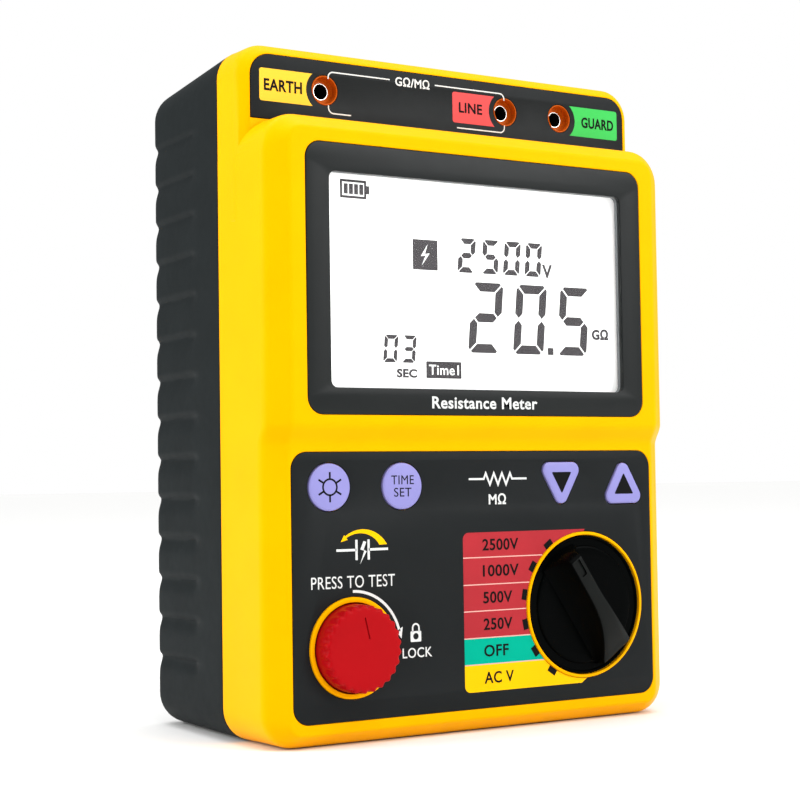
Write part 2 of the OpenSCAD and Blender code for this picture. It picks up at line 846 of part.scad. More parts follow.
module hv_board() {
    color(board_green) difference() {
        block([-hv_board_hw, hv_board_y, hv_board_z0], [hv_board_hw, hv_board_y + board_t, hv_board_z1]);
        for (p = hv_screws) rod_y(screw_r + 0.3, hv_board_y - 1, hv_board_y + board_t + 1, p[0], p[1]);
    }
}

// Ferrite core of the step-up transformer, with two windows for the winding
module hv_transformer() {
    color("#3b3b40") difference() {
        block([core_x0, core_y0, core_z0], [core_x1, hv_board_y, core_z1]);
        for (x = [core_x0 + core_leg, core_x1 - core_leg - core_window_w])
            block([x, core_y0 - 1, core_z0 + core_leg],
                [x + core_window_w, hv_board_y + 1, core_z1 - core_leg]);
    }
}

module transformer_winding() {
    color("#b8642a") difference() {
        block([core_x0 + core_leg + 0.2, winding_y0, core_z0 + core_leg + 0.2],
            [core_x1 - core_leg - 0.2, core_y0, core_z1 - core_leg - 0.2]);
        block([core_x0 + 2.4 * core_leg, winding_y0 - 1, core_z0 + 2 * core_leg],
            [core_x1 - 2.4 * core_leg, core_y0 + 1, core_z1 - 2 * core_leg]);
    }
}

module hv_multiplier() {
    color("#22252b") block([multiplier_x[0], multiplier_y0, multiplier_z[0]],
        [multiplier_x[1], hv_board_y, multiplier_z[1]]);
}

module hv_capacitors() {
    color("#3f6fb5") for (x = capacitor_x)
        rod_y(capacitor_r, hv_board_y - capacitor_l, hv_board_y, x, capacitor_z);
}

module discharge_relay() {
    color("#e8e8e2") block([relay_x[0], relay_y0, relay_z[0]], [relay_x[1], hv_board_y, relay_z[1]]);
}

module fuse() {
    color("#e6eef0", 0.6) translate([fuse_x, fuse_y, fuse_z]) rotate([0, 90, 0])
        cylinder(d = fuse_d, h = fuse_l);
}

module fuse_clips() {
    color(brass) for (x = fuse_clip_x) difference() {
        block([x, fuse_y - 3, fuse_z - 3.3], [x + fuse_clip_w, hv_board_y, fuse_z + 3.3]);
        translate([x - 1, fuse_y, fuse_z]) rotate([0, 90, 0]) cylinder(d = fuse_d, h = fuse_clip_w + 2);
        block([x - 1, fuse_y - 4, fuse_z - 1.8], [x + fuse_clip_w + 1, fuse_y, fuse_z + 1.8]);
    }
}

module buzzer() {
    buzzer_y = front_board_y + board_t;
    color("#151515") difference() {
        rod_y(buzzer_r, buzzer_y, buzzer_y + buzzer_h, buzzer_x, buzzer_z);
        rod_y(1.2, buzzer_y + buzzer_h - 3, buzzer_y + buzzer_h + 1, buzzer_x, buzzer_z);
    }
}

// ---------- battery ----------

module battery_tray() {
    z0 = opening_z0 - tray_wall;
    z1 = opening_z1 + tray_wall;
    inner = tray_hw - tray_wall;
    color("#25282a") difference() {
        block([-tray_hw, tray_floor - tray_wall, z0], [tray_hw, pad_y, z1]);
        block([-inner, tray_floor, opening_z0], [inner, pad_y + 1, opening_z1]);
    }
}

// Cells lie along X in rows of two, and neighbouring rows point opposite ways
module cell(n) {
    row = floor((n - 1) / 2);
    side = n % 2 == 1 ? -1 : 1;
    way = row % 2 == 0 ? 1 : -1;
    color("#3d4a54") translate([side * cell_x, cell_y, cells_z0 + cell_pitch * row])
        rotate([0, 90 * way, 0]) translate([0, 0, -cell_l / 2]) {
            cylinder(d = cell_d, h = cell_l - 1.2);
            cylinder(d = 5.2, h = cell_l);
        }
}

module battery_contacts() {
    end = tray_hw - tray_wall;
    reach = end - 0.5 - cell_x - cell_l / 2;
    color(steel) for (row = [0:row_count - 1]) {
        z = cells_z0 + cell_pitch * row;
        way = row % 2 == 0 ? 1 : -1;
        for (side = [-1, 1])
            block([side * (end - 0.25) - 0.25, cell_y - 4.5, z - 4.5],
                [side * (end - 0.25) + 0.25, cell_y + 4.5, z + 4.5]);
        translate([-way * (end - 0.5), cell_y, z]) rotate([0, 90 * way, 0]) coil(3, 0.3, reach, 2.5, 6, 10);
        block([-way * 0.2 - 0.3, cell_y - 3, z - 3], [-way * 0.2 + 0.3, cell_y + 3, z + 3]);
    }
}

module battery_cover() {
    color(charcoal) difference() {
        union() {
            along_y(cover_y, y_back) plate(-cover_hw, cover_hw, cover_z0, cover_z1, 3, 3);
            // rib that locates the cover in the opening
            difference() {
                along_y(cover_y - 2, cover_y + eps)
                    plate(-opening_hw + gap, opening_hw - gap, opening_z0 + gap, opening_z1 - gap, 1.5, 1.5);
                along_y(cover_y - 3, cover_y)
                    plate(-opening_hw + 2, opening_hw - 2, opening_z0 + 2, opening_z1 - 2, 1, 1);
            }
        }
        for (x = [-cover_screw_x, cover_screw_x]) {
            rod_y(1.6, cover_y - 1, y_back + 1, x, cover_screw_z);
            rod_y(2.9, y_back - 1.3, y_back + 1, x, cover_screw_z);
        }
    }
}

module cover_screws() {
    color(steel) for (x = [-cover_screw_x, cover_screw_x]) difference() {
        union() {
            rod_y(1.2, cover_y - 3, y_back - 1.2, x, cover_screw_z);
            rod_y(2.7, y_back - 1.3, y_back - 0.1, x, cover_screw_z);
        }
        block([x - 2, y_back - 0.7, cover_screw_z - 0.3], [x + 2, y_back, cover_screw_z + 0.3]);
        block([x - 0.3, y_back - 0.7, cover_screw_z - 2], [x + 0.3, y_back, cover_screw_z + 2]);
    }
}

module case_screws() {
    color(steel) for (x = [-case_screw_x, case_screw_x], z = case_screw_z) difference() {
        union() {
            rod_y(screw_r, y_part - 8, counterbore_y + eps, x, z);
            rod_y(2.9, counterbore_y, counterbore_y + 2.2, x, z);
        }
        block([x - 2, counterbore_y + 1.2, z - 0.35], [x + 2, counterbore_y + 3, z + 0.35]);
        block([x - 0.35, counterbore_y + 1.2, z - 2], [x + 0.35, counterbore_y + 3, z + 2]);
    }
}

module rear_feet() {
    color("#161616") for (x = [-foot_x, foot_x], z = foot_z)
        rod_y(foot_r, y_back - foot_sink, y_back + foot_proud, x, z);
}

// Wires: one from each socket to the high voltage board, and a pair from the tray
module wiring() {
    tail = y_deck + socket_cup_t + sleeve_l;
    color("#b02020") {
        for (i = [0:2]) {
            x = socket_x[i];
            // soldered under the free end of the sleeve, clear of its bore
            z = socket_z - sleeve_r - lead_r;
            pad_x = x * 0.9;
            pad_z = hv_board_z1 - 6;
            wire([[x, tail - 2.5, z], [x, tail + 2.5, z], [x, hv_board_y - 2, socket_z - 8],
                [pad_x, hv_board_y - 2, pad_z], [pad_x, hv_board_y, pad_z]], lead_r);
        }
        for (x = [-pair_x, pair_x])
            wire([[x, tray_wire_y, opening_z1 + tray_wall], [x, tray_wire_y, 106], [x, 14, 108],
                [x, 14, hv_board_z0 + 6], [x, hv_board_y + board_t, hv_board_z0 + 6]], pair_r);
    }
}

front_case();
rear_case();
display_bezel();
lcd_window();
lcd_module();
lcd_backlight();
control_panel();
terminal_panel();
for (i = [0:2]) {
    socket_body(i);
    socket_sleeve(i);
}
socket_nuts();
front_board();
board_screws();
key_switches();
key(0);  // key_light
key(1);  // key_time
key(2);  // key_down
key(3);  // key_up
rotary_knob();
switch_shaft();
switch_rotor();
switch_wiper();
switch_housing();
switch_wafer();
detent_ball();
detent_spring();
test_cap();
test_plunger();
test_clip();
test_spring();
test_switch();
hv_board();
hv_transformer();
transformer_winding();
hv_multiplier();
hv_capacitors();
discharge_relay();
fuse();
fuse_clips();
buzzer();
battery_tray();
for (n = [1:8]) cell(n);
battery_contacts();
battery_cover();
cover_screws();
case_screws();
rear_feet();
wiring();
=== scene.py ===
"""Insulation resistance tester: its finished look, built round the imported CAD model.

Lengths are in millimetres until a mesh is made, and angles are in degrees.
"""
import json
from math import asin, copysign, cos, degrees, exp, hypot, pi, radians, sin, sqrt
import bmesh
import bpy
from mathutils import Matrix, Vector


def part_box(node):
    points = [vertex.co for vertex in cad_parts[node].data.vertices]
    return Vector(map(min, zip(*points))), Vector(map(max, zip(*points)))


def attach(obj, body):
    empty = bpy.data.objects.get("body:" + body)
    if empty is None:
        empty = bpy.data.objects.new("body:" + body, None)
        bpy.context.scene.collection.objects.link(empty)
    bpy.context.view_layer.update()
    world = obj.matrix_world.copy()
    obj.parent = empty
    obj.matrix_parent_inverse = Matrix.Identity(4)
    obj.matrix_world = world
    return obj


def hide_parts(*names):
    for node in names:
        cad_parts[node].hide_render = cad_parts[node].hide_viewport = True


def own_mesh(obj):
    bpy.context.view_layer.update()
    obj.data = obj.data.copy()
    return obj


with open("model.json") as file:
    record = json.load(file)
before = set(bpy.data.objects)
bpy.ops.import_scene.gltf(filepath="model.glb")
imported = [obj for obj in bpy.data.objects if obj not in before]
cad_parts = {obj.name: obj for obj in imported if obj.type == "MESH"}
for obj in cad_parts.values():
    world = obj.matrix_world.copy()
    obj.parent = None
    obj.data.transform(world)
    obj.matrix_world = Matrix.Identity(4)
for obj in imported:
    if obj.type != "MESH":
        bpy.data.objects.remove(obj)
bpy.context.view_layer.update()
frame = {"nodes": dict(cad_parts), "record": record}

MM = 0.001


def span(node):
    """Lowest and highest corner of a CAD node at rest, in millimetres."""
    low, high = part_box(node)
    return [v / MM for v in low], [v / MM for v in high]


def centre(node):
    """Middle of a CAD node seen from the front, as (x, z)."""
    low, high = span(node)
    return (low[0] + high[0]) / 2, (low[2] + high[2]) / 2


# ---------- sizes read from the frame ----------

case_high = span("front_case")[1]
bezel_low, bezel_high = span("display_bezel")
panel_low, panel_high = span("control_panel")
deck_low, deck_high = span("terminal_panel")
cover_low, cover_high = span("battery_cover")

HALF_W = case_high[0]
HEIGHT = case_high[2]
Y_PART = case_high[1]
Y_DISPLAY = bezel_low[1]
Y_CONTROL = panel_low[1]
Y_DECK = deck_low[1]
Y_BACK = span("rear_case")[1][1]
BLOCK_H = deck_low[2] - 0.1
KNOB_X, KNOB_Z = centre("rotary_knob")
BUTTON_X, BUTTON_Z = centre("test_cap")
KEYS_Z = centre("key_light")[1]
SOCKETS = {name: centre("socket_sleeve_" + name) for name in ("earth", "line", "guard")}

# Case: the outline's corners, the chamfers and rounded edges, and the wall
WALL = 2.6
FRONT_SKIN = 3.4
CORNER_BOTTOM = 10.0
CORNER_TOP = 9.5
BLOCK_CORNER = 11.0
FRONT_DRAFT = 0.5
CHAMFER_X = 6.3
CHAMFER_Y = 4.7
EDGE_BOTTOM = 3.8
EDGE_TOP = 4.2
DECK_CHAMFER_X = 2.8
DECK_CHAMFER_Y = 2.9
SLOPE_Z = (85.5, 92.0)
SIDE_DRAFT = 3.3
TOP_DRAFT = 3.8
BACK_ROUND = 7.0

# Panels and window
PANEL_T = 0.8
BEZEL_T = 1.6
PANEL_CORNER = 5.0
TERMINAL_CORNER = 6.5
WINDOW_HW = 53.4
WINDOW_Z = (102.0, 164.0)
LCD_FRONT = span("lcd_module")[0][1]
LABEL_T = 0.08
LCD_INK = LCD_FRONT - 0.05

# Knob, button and keys
KNOB_COLLAR_R = 22.6
KNOB_FRONT = Y_CONTROL - 0.2
KNOB_T = 3.0
KNOB_ANGLE = 56.25
GRIP_H = KNOB_FRONT - span("rotary_knob")[0][1]
GRIP_REACH = 19.2
DIAL_R = 21.3
COLLAR_PROUD = 0.6
BUTTON_COLLAR_R = 14.5
CAP_R = 12.5
CAP_FRONT = span("test_cap")[0][1]
CAP_SKIRT = Y_CONTROL + 3.2
KEY_R = 6.8
TRIANGLE_REACH = 5.2
TRIANGLE_R = 2.5
TRIANGLE_SHIFT = 1.5
GAP = 0.3

# Back
COVER_CORNER = 3.0
COVER_SCREWS = [(x, 101.0) for x in (-45.0, 45.0)]
CASE_SCREWS = [(x, z) for x in (-60.0, 60.0) for z in (13.0, 188.0)]
FEET = [(x, z) for x in (-44.0, 44.0) for z in (15.0, 184.0)]
FOOT_R = 6.0
GROOVES = 14
GROOVE_Z = 21.3
GROOVE_PITCH = 12.3
GROOVE_FRONT = 8.5
GROOVE_DEPTH = 1.05
GROOVE_ABOVE = 1.0
GROOVE_BELOW = 2.8
GROOVE_FADE = 4.5
TOWER_R = 4.8
BOSS_R = 3.0
CASE_SCREW_R = 1.7
COVER_SCREW_R = 1.25
SCREW_HEAD_R = 3.4
COVER_HOLE_R = 2.9


# ---------- outlines, as lists of (x, z) ----------

def polar(x, z, r, angle):
    """Point at a distance from (x, z), at an angle in degrees."""
    return x + r * cos(radians(angle)), z + r * sin(radians(angle))


def arc(x, z, r, start, end, steps):
    """Points on an arc, from start to end in degrees, both included."""
    return [polar(x, z, r, start + (end - start) * i / steps) for i in range(steps + 1)]


def circle(x, z, r, steps=64):
    return arc(x, z, r, 0, 360, steps)[:-1]


def rounded_box(x0, x1, z0, z1, r_bottom, r_top=None, steps=8):
    """Rectangle with round corners."""
    r_top = r_bottom if r_top is None else r_top
    corners = [(x1, z0, r_bottom, -90, -1, 1), (x1, z1, r_top, 0, -1, -1),
               (x0, z1, r_top, 90, 1, -1), (x0, z0, r_bottom, 180, 1, 1)]
    points = []
    for x, z, r, start, sx, sz in corners:
        if r > 0:
            points += arc(x + sx * r, z + sz * r, r, start, start + 90, steps)
        else:
            points.append((x, z))
    return points


def node_box(low, high, grow, r, r_top=None):
    """Outline of a node's box, grown all round, with round corners."""
    return rounded_box(low[0] - grow, high[0] + grow, low[2] - grow, high[2] + grow, r, r_top)


def rounded_triangle(x, z, reach, r, up):
    """Triangle with round corners whose centre is at (x, z)."""
    sign = 1 if up else -1
    points = []
    for i in range(3):
        a = 90 * sign + 120 * i
        points += arc(*polar(x, z, reach, a), r, a - 60, a + 60, 8)
    return points


def bar(x0, z0, x1, z1, width):
    """Straight bar between two points."""
    run = Vector((x1 - x0, z1 - z0)).normalized() * width / 2
    return [(x0 + run.y, z0 - run.x), (x1 + run.y, z1 - run.x),
            (x1 - run.y, z1 + run.x), (x0 - run.y, z0 + run.x)]


def bent_bar(points, width):
    """Bar of one width that follows a line of points, with mitred bends."""
    spots = [Vector(p) for p in points]
    runs = [(b - a).normalized() for a, b in zip(spots, spots[1:])]
    left, right = [], []
    for spot, before, after in zip(spots, runs[:1] + runs, runs + runs[-1:]):
        along = (before + after).normalized()
        side = Vector((-along.y, along.x)) * width / 2 / max(along.dot(after), 0.4)
        left.append(tuple(spot + side))
        right.append(tuple(spot - side))
    return right + left[::-1]


def rounded_path(corners, trims, steps=4):
    """Line through the corners, with a curve at each inner corner that starts and ends a trim away."""
    path = [corners[0]]
    for i in range(1, len(corners) - 1):
        here = Vector(corners[i])
        start = here + (Vector(corners[i - 1]) - here).normalized() * trims[i - 1]
        end = here + (Vector(corners[i + 1]) - here).normalized() * trims[i - 1]
        for k in range(steps + 1):
            t = k / steps
            path.append(tuple(start * (1 - t) ** 2 + here * 2 * t * (1 - t) + end * t * t))
    return path + [corners[-1]]


# ---------- meshes ----------

def new_object(name, data):
    """Object in the scene with this mesh, curve, light or camera."""
    obj = bpy.data.objects.new(name, data)
    bpy.context.scene.collection.objects.link(obj)
    return obj


def solid(name, verts, faces):
    """Object with a closed mesh, from millimetres, with its normals facing out."""
    mesh = bpy.data.meshes.new(name)
    mesh.from_pydata([[c * MM for c in v] for v in verts], [], faces)
    work = bmesh.new()
    work.from_mesh(mesh)
    bmesh.ops.remove_doubles(work, verts=work.verts, dist=1e-6)
    bmesh.ops.dissolve_degenerate(work, edges=work.edges, dist=1e-7)
    bmesh.ops.recalc_face_normals(work, faces=work.faces)
    work.to_mesh(mesh)
    work.free()
    return new_object(name, mesh)


def skin_faces(rings, count, closed=False):
    """Quads between neighbouring rings of count points each."""
    faces = []
    for k in range(rings if closed else rings - 1):
        a, b = k * count, (k + 1) % rings * count
        faces += [(a + i, a + (i + 1) % count, b + (i + 1) % count, b + i) for i in range(count)]
    return faces


def loft(name, rings):
    """Solid between rings of equal length, closed at both ends by flat faces."""
    count = len(rings[0])
    faces = skin_faces(len(rings), count)
    last = (len(rings) - 1) * count
    faces += [tuple(range(count)), tuple(range(last, last + count))]
    return solid(name, [p for ring in rings for p in ring], faces)


def prism(name, outline, y0, y1):
    """Straight solid on an outline."""
    return loft(name, [[(x, y, z) for x, z in outline] for y in (y0, y1)])


def lathe(name, profile, x, z, steps=96, ripple=None, closed=False):
    """Turned solid about the Y axis through (x, z), from a profile of (radius, y).

    The profile starts and ends on the axis, or is a closed loop round it. A ripple cuts into the radius.
    """
    rings = []
    for index, (r, y) in enumerate(profile):
        turn = [2 * pi * i / steps for i in range(steps)]
        radii = [r - (ripple(index, a) if ripple else 0) for a in turn]
        rings.append([(x + q * cos(a), y, z + q * sin(a)) for q, a in zip(radii, turn)])
    return solid(name, [p for ring in rings for p in ring], skin_faces(len(rings), steps, closed))


def rod(name, r, y0, y1, x, z, steps=64):
    return lathe(name, [(0, y0), (r, y0), (r, y1), (0, y1)], x, z, steps)


def evaluated(obj):
    """Mesh of an object with its modifiers, curve or text worked out."""
    bpy.context.view_layer.update()
    graph = bpy.context.evaluated_depsgraph_get()
    return bpy.data.meshes.new_from_object(obj.evaluated_get(graph))


def combine(target, other, operation="DIFFERENCE"):
    """Adds or cuts one solid to or from another, and throws the second one away."""
    cut = target.modifiers.new("cut", "BOOLEAN")
    cut.solver = "MANIFOLD"
    cut.operation = operation
    cut.object = other
    mesh = evaluated(target)
    target.modifiers.clear()
    target.data = mesh
    bpy.data.objects.remove(other)
    return target


def join(name, *parts):
    """One object from several."""
    work = bmesh.new()
    for part in parts:
        work.from_mesh(part.data)
        bpy.data.objects.remove(part)
    mesh = bpy.data.meshes.new(name)
    work.to_mesh(mesh)
    work.free()
    return new_object(name, mesh)


def as_mesh(curve_object, name):
    """Mesh object from a curve or text object, welded, in the frame's own axes."""
    mesh = evaluated(curve_object)
    bpy.data.objects.remove(curve_object)
    work = bmesh.new()
    work.from_mesh(mesh)
    bmesh.ops.remove_doubles(work, verts=work.verts, dist=1e-7)
    bmesh.ops.dissolve_degenerate(work, edges=work.edges, dist=1e-8)
    work.to_mesh(mesh)
    work.free()
    mesh.materials.clear()
    mesh.name = name
    return new_object(name, mesh)


def sheet_piece(name, loops, y0, y1, bevel=0.0):
    """Flat piece cut to loops of (x, z), with a hole where one loop lies in another, and small bevels."""
    curve = bpy.data.curves.new(name, "CURVE")
    curve.dimensions = "2D"
    curve.fill_mode = "BOTH"
    for loop in loops:
        spline = curve.splines.new("POLY")
        spline.points.add(len(loop) - 1)
        for point, (x, z) in zip(spline.points, loop):
            point.co = (x * MM, z * MM, 0, 1)
        spline.use_cyclic_u = True
    curve.extrude = ((y1 - y0) / 2 - bevel) * MM
    curve.bevel_depth = bevel * MM
    curve.bevel_resolution = 2
    curve.offset = -bevel * MM
    flat = as_mesh(new_object(name, curve), name)
    flat.data.transform(Matrix.Translation((0, (y0 + y1) / 2 * MM, 0)) @ Matrix.Rotation(pi / 2, 4, "X"))
    return flat


def lettering(name, words, x0, x1, z0, z1, y, weight=0.02):
    """Printed words, drawn to fill the box from (x0, z0) to (x1, z1)."""
    curve = bpy.data.curves.new(name, "FONT")
    curve.body = words
    curve.offset = weight
    curve.space_character = 1.06
    curve.extrude = 0.01
    curve.resolution_u = 4
    flat = as_mesh(new_object(name, curve), name)
    points = flat.data.vertices
    low, high = [[pick(v.co[i] for v in points) for i in range(3)] for pick in (min, max)]
    for v in points:
        u, w, depth = [(v.co[i] - low[i]) / (high[i] - low[i]) for i in range(3)]
        v.co = Vector((x0 + (x1 - x0) * u, y + LABEL_T / 2 - LABEL_T * depth, z0 + (z1 - z0) * w)) * MM
    return flat


def place(obj, material, body="case", slot="panel_plate", nodes=(), sharp=32):
    """Gives a piece its material and its CAD body, and hides the CAD nodes that it stands for. Its slot is
    not used.
    """
    obj.data.materials.clear()
    obj.data.materials.append(material)
    obj.data.shade_smooth()
    obj.data.set_sharp_from_angle(angle=radians(sharp))
    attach(obj, body)
    if nodes:
        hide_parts(*nodes)
    return obj


def even_normals(obj):
    """Keeps large flat faces flat beside small rounded edges."""
    weighted = obj.modifiers.new("even normals", "WEIGHTED_NORMAL")
    weighted.keep_sharp = True
    weighted.weight = 100


# ---------- materials ----------

def hex_colour(text):
    """Linear colour from a hex sRGB value."""
    parts = [int(text[i:i + 2], 16) / 255 for i in (0, 2, 4)]
    linear = [c / 12.92 if c <= 0.04045 else ((c + 0.055) / 1.055) ** 2.4 for c in parts]
    return (*linear, 1.0)


def finish(name, colour, rough, grain=0.0, grain_size=0.4, shade=0.04, spread=0.06,
           spec=0.5, tint=(1, 1, 1), **sockets):
    """Procedural surface: mottled colour, uneven roughness and a fine grain. Sizes are in millimetres."""
    mat = bpy.data.materials.new(name)
    mat.use_nodes = True
    nodes, links = mat.node_tree.nodes, mat.node_tree.links
    shader = nodes["Principled BSDF"]
    place_in = nodes.new("ShaderNodeTexCoord")

    def noise(size, detail):
        node = nodes.new("ShaderNodeTexNoise")
        node.inputs["Scale"].default_value = 1 / (size * MM)
        node.inputs["Detail"].default_value = detail
        links.new(place_in.outputs["Object"], node.inputs["Vector"])
        return node

    mottle = noise(14, 3)
    ramp = nodes.new("ShaderNodeValToRGB")
    base = hex_colour(colour)
    for element, factor in zip(ramp.color_ramp.elements, (1 - shade, 1 + shade)):
        element.color = (*[min(c * factor, 1.0) for c in base[:3]], 1.0)
    ramp.color_ramp.elements[0].position = 0.3
    ramp.color_ramp.elements[1].position = 0.7
    links.new(mottle.outputs["Fac"], ramp.inputs["Fac"])
    links.new(ramp.outputs["Color"], shader.inputs["Base Color"])

    uneven = noise(3, 4)
    between = nodes.new("ShaderNodeMapRange")
    between.inputs["To Min"].default_value = max(rough - spread, 0.02)
    between.inputs["To Max"].default_value = min(rough + spread, 1.0)
    links.new(uneven.outputs["Fac"], between.inputs["Value"])
    links.new(between.outputs["Result"], shader.inputs["Roughness"])

    if grain:
        fine = noise(grain_size, 2)
        bump = nodes.new("ShaderNodeBump")
        bump.inputs["Strength"].default_value = grain
        bump.inputs["Distance"].default_value = 0.05 * MM
        links.new(fine.outputs["Fac"], bump.inputs["Height"])
        links.new(bump.outputs["Normal"], shader.inputs["Normal"])
    shader.inputs["Specular IOR Level"].default_value = spec
    shader.inputs["Specular Tint"].default_value = (*tint, 1)
    for socket, value in sockets.items():
        shader.inputs[socket.replace("_", " ")].default_value = value
    return mat


def ink(name, colour, shade=0.03, spec=0.2, **more):
    """Printed film."""
    return finish(name, colour, 0.5, 0.1, 0.25, shade, spec=spec, **more)


YELLOW = finish("yellow_plastic", "F9AC00", 0.4, 0.12, 0.5, 0.02, spec=0.05, tint=(1, 0.75, 0.05))
DARK = finish("dark_plastic", "1B1F20", 0.5, 0.35, 0.45, 0.08, spec=0.03)
PANEL = finish("panel_print", "16191A", 0.4, 0.2, 0.25, 0.06, spec=0.09)
BEZEL = finish("bezel_print", "161919", 0.34, 0.15, 0.25, 0.06, spec=0.15)
INK_DARK = finish("dark_ink", "060708", 0.55, 0.1, 0.2, spec=0.08)
INK_WHITE = finish("white_ink", "D4D6D4", 0.5, 0.1, 0.2, 0.03)
LABEL_RED = ink("red_label", "A5262E", 0.05, spec=0.12)
LABEL_TEAL = ink("teal_label", "00A286", 0.04, spec=0.1, tint=(0.1, 1, 0.8))
LABEL_YELLOW = ink("yellow_label", "F4BC00", tint=(1, 0.8, 0.1))
TAG_YELLOW = ink("earth_label", "F4BE26")
TAG_RED = ink("line_label", "D04444")
TAG_GREEN = ink("guard_label", "30B64C")
SEPARATOR = ink("separator_ink", "D8A298", spec=0.5)
# Display glass: the white is its own colour; the faint emission is painted light, a glow that keeps it
# white in the shade of the lens and bezel.
LCD_WHITE_GLOW = finish("lcd_white_glow", "FAFBFA", 0.35, 0.02, 0.3, 0.01, Emission_Color=(1, 1, 1, 1),
                   Emission_Strength=0.35)
SEGMENT = finish("lcd_segment", "302C30", 0.5, 0.02, 0.3, 0.03, spec=0.1)
LINER = finish("window_liner", "6C7072", 0.45, 0.05, 0.3, 0.03)
LAVENDER = finish("lavender_plastic", "8481BE", 0.4, 0.12, 0.3, 0.03, spec=0.3)
GLOSS_BLACK = finish("gloss_black", "030404", 0.25, 0.05, 0.6, 0.1, 0.05, spec=0.015)
# Painted highlight: a lighter black for the front-facing top of the knob grip, where light falls on the
# ridge.
GRIP_PAINTED_HIGHLIGHT = finish("grip_painted_highlight", "141615", 0.42, 0.1, 0.5, 0.1, spec=0.05)
RED = finish("red_plastic", "A0060E", 0.38, 0.1, 0.4, 0.04, spec=0.15, tint=(1, 0.3, 0.3))
ORANGE = finish("orange_insulator", "B04C06", 0.35, 0.05, 0.4, 0.1, spec=0.2, tint=(1, 0.5, 0.2))
BRIGHT_METAL = finish("plated_sleeve", "E8E6E0", 0.2, 0.03, 0.3, 0.04, Metallic=1.0)
# Painted shadow for the inside of the socket bores.
BORE_SHADOW = finish("bore_shadow", "050505", 0.7, 0.1, 0.3, 0.1, spec=0.1)
STEEL = finish("bright_steel", "B9BCC0", 0.32, 0.15, 0.25, 0.08, Metallic=1.0)
RUBBER = finish("foot_rubber", "161616", 0.8, 0.4, 0.4, 0.1, spec=0.3)
FLOOR = finish("floor", "ECECEB", 0.6, 0.0, 1.0, 0.004, 0.03, spec=0.1)

SLOT_MATERIALS = {
    "yellow_shell": YELLOW, "dark_shell": DARK, "panel_plate": PANEL, "lcd_glass": LCD_WHITE_GLOW,
    "insulator": ORANGE, "steel_parts": STEEL, "lavender_key": LAVENDER, "black_gloss": GLOSS_BLACK,
    "red_cap": RED, "foot_rubber": RUBBER,
    "clear_lens": finish("clear_lens", "FFFFFF", 0.08, 0.01, 1.0, 0.01, 0.03, Alpha=0.02),
    "light_guide": finish("light_guide", "F4F6F6", 0.3, 0.05, 0.5, 0.02),
    "brass_parts": finish("brass", "C9A44C", 0.3, 0.1, 0.3, 0.08, Metallic=1.0),
    "circuit_board": finish("circuit_board", "1F6B3A", 0.4, 0.2, 0.6, 0.15),
    "black_component": finish("black_component", "1E1F20", 0.55, 0.3, 0.3, 0.12),
    "rotor_plastic": finish("switch_plastic", "D8D2C0", 0.45, 0.1, 0.4, 0.06),
    "wafer_laminate": finish("wafer_laminate", "8A5A2A", 0.6, 0.3, 0.4, 0.2),
    "ferrite": finish("ferrite", "3B3B40", 0.7, 0.5, 0.3, 0.15),
    "winding": finish("winding_tape", "B8642A", 0.5, 0.3, 0.5, 0.15),
    "potting": finish("potting_resin", "22252B", 0.35, 0.3, 2.0, 0.15),
    "capacitor_coat": finish("capacitor_sleeve", "3F6FB5", 0.4, 0.1, 0.5, 0.08),
    "relay_white": finish("relay_housing", "E8E8E2", 0.45, 0.1, 0.4, 0.04),
    "fuse_glass": finish("fuse_glass", "E6EEF0", 0.1, 0.02, 0.5, 0.03, 0.04, Alpha=0.5),
    "cell_wrap": finish("cell_wrap", "3D4A54", 0.35, 0.08, 0.5, 0.1),
    "wire_jacket": finish("wire_jacket", "B02020", 0.45, 0.1, 0.4, 0.06),
}


def paint_cad_nodes():
    """Every CAD node gets the detailed material of its slot in the record."""
    for row in frame["record"]["subparts"]:
        node = frame["nodes"][row["node"]]
        for index in range(len(node.material_slots)):
            node.material_slots[index].material = SLOT_MATERIALS[row["material_slot"]]


# ---------- case ----------

def case_ring(half, z0, z1, r_bottom, r_top, levels, y_at, arc_steps=10):
    """Outline of the case from bottom right round to bottom left, with fixed levels up its sides."""
    right = arc(half - r_bottom, z0 + r_bottom, r_bottom, -90, 0, arc_steps)
    right += [(half, z) for z in levels]
    right += arc(half - r_top, z1 - r_top, r_top, 0, 90, arc_steps)
    ring = right + [(-x, z) for x, z in reversed(right)]
    return [(x, y_at(z), z) for x, z in ring]


def strip_faces(start, count):
    """Fills the ring that starts at a vertex number with strips from its right side to its left."""
    end = start + count - 1
    return [(start + i, start + i + 1, end - i - 1, end - i) for i in range(count // 2 - 1)]


def shell_loft(name, rings):
    """Solid between case rings, whose ends are filled with strips, so they may curve in height."""
    count = len(rings[0])
    faces = skin_faces(len(rings), count)
    faces += strip_faces(0, count) + strip_faces((len(rings) - 1) * count, count)
    return solid(name, [p for ring in rings for p in ring], faces)


def front_level(z):
    """Depth of the front face: the control face, a soft step, then the display face."""
    t = min(max((z - SLOPE_Z[0]) / (SLOPE_Z[1] - SLOPE_Z[0]), 0), 1)
    return Y_CONTROL + (Y_DISPLAY - Y_CONTROL) * t * t * (3 - 2 * t)


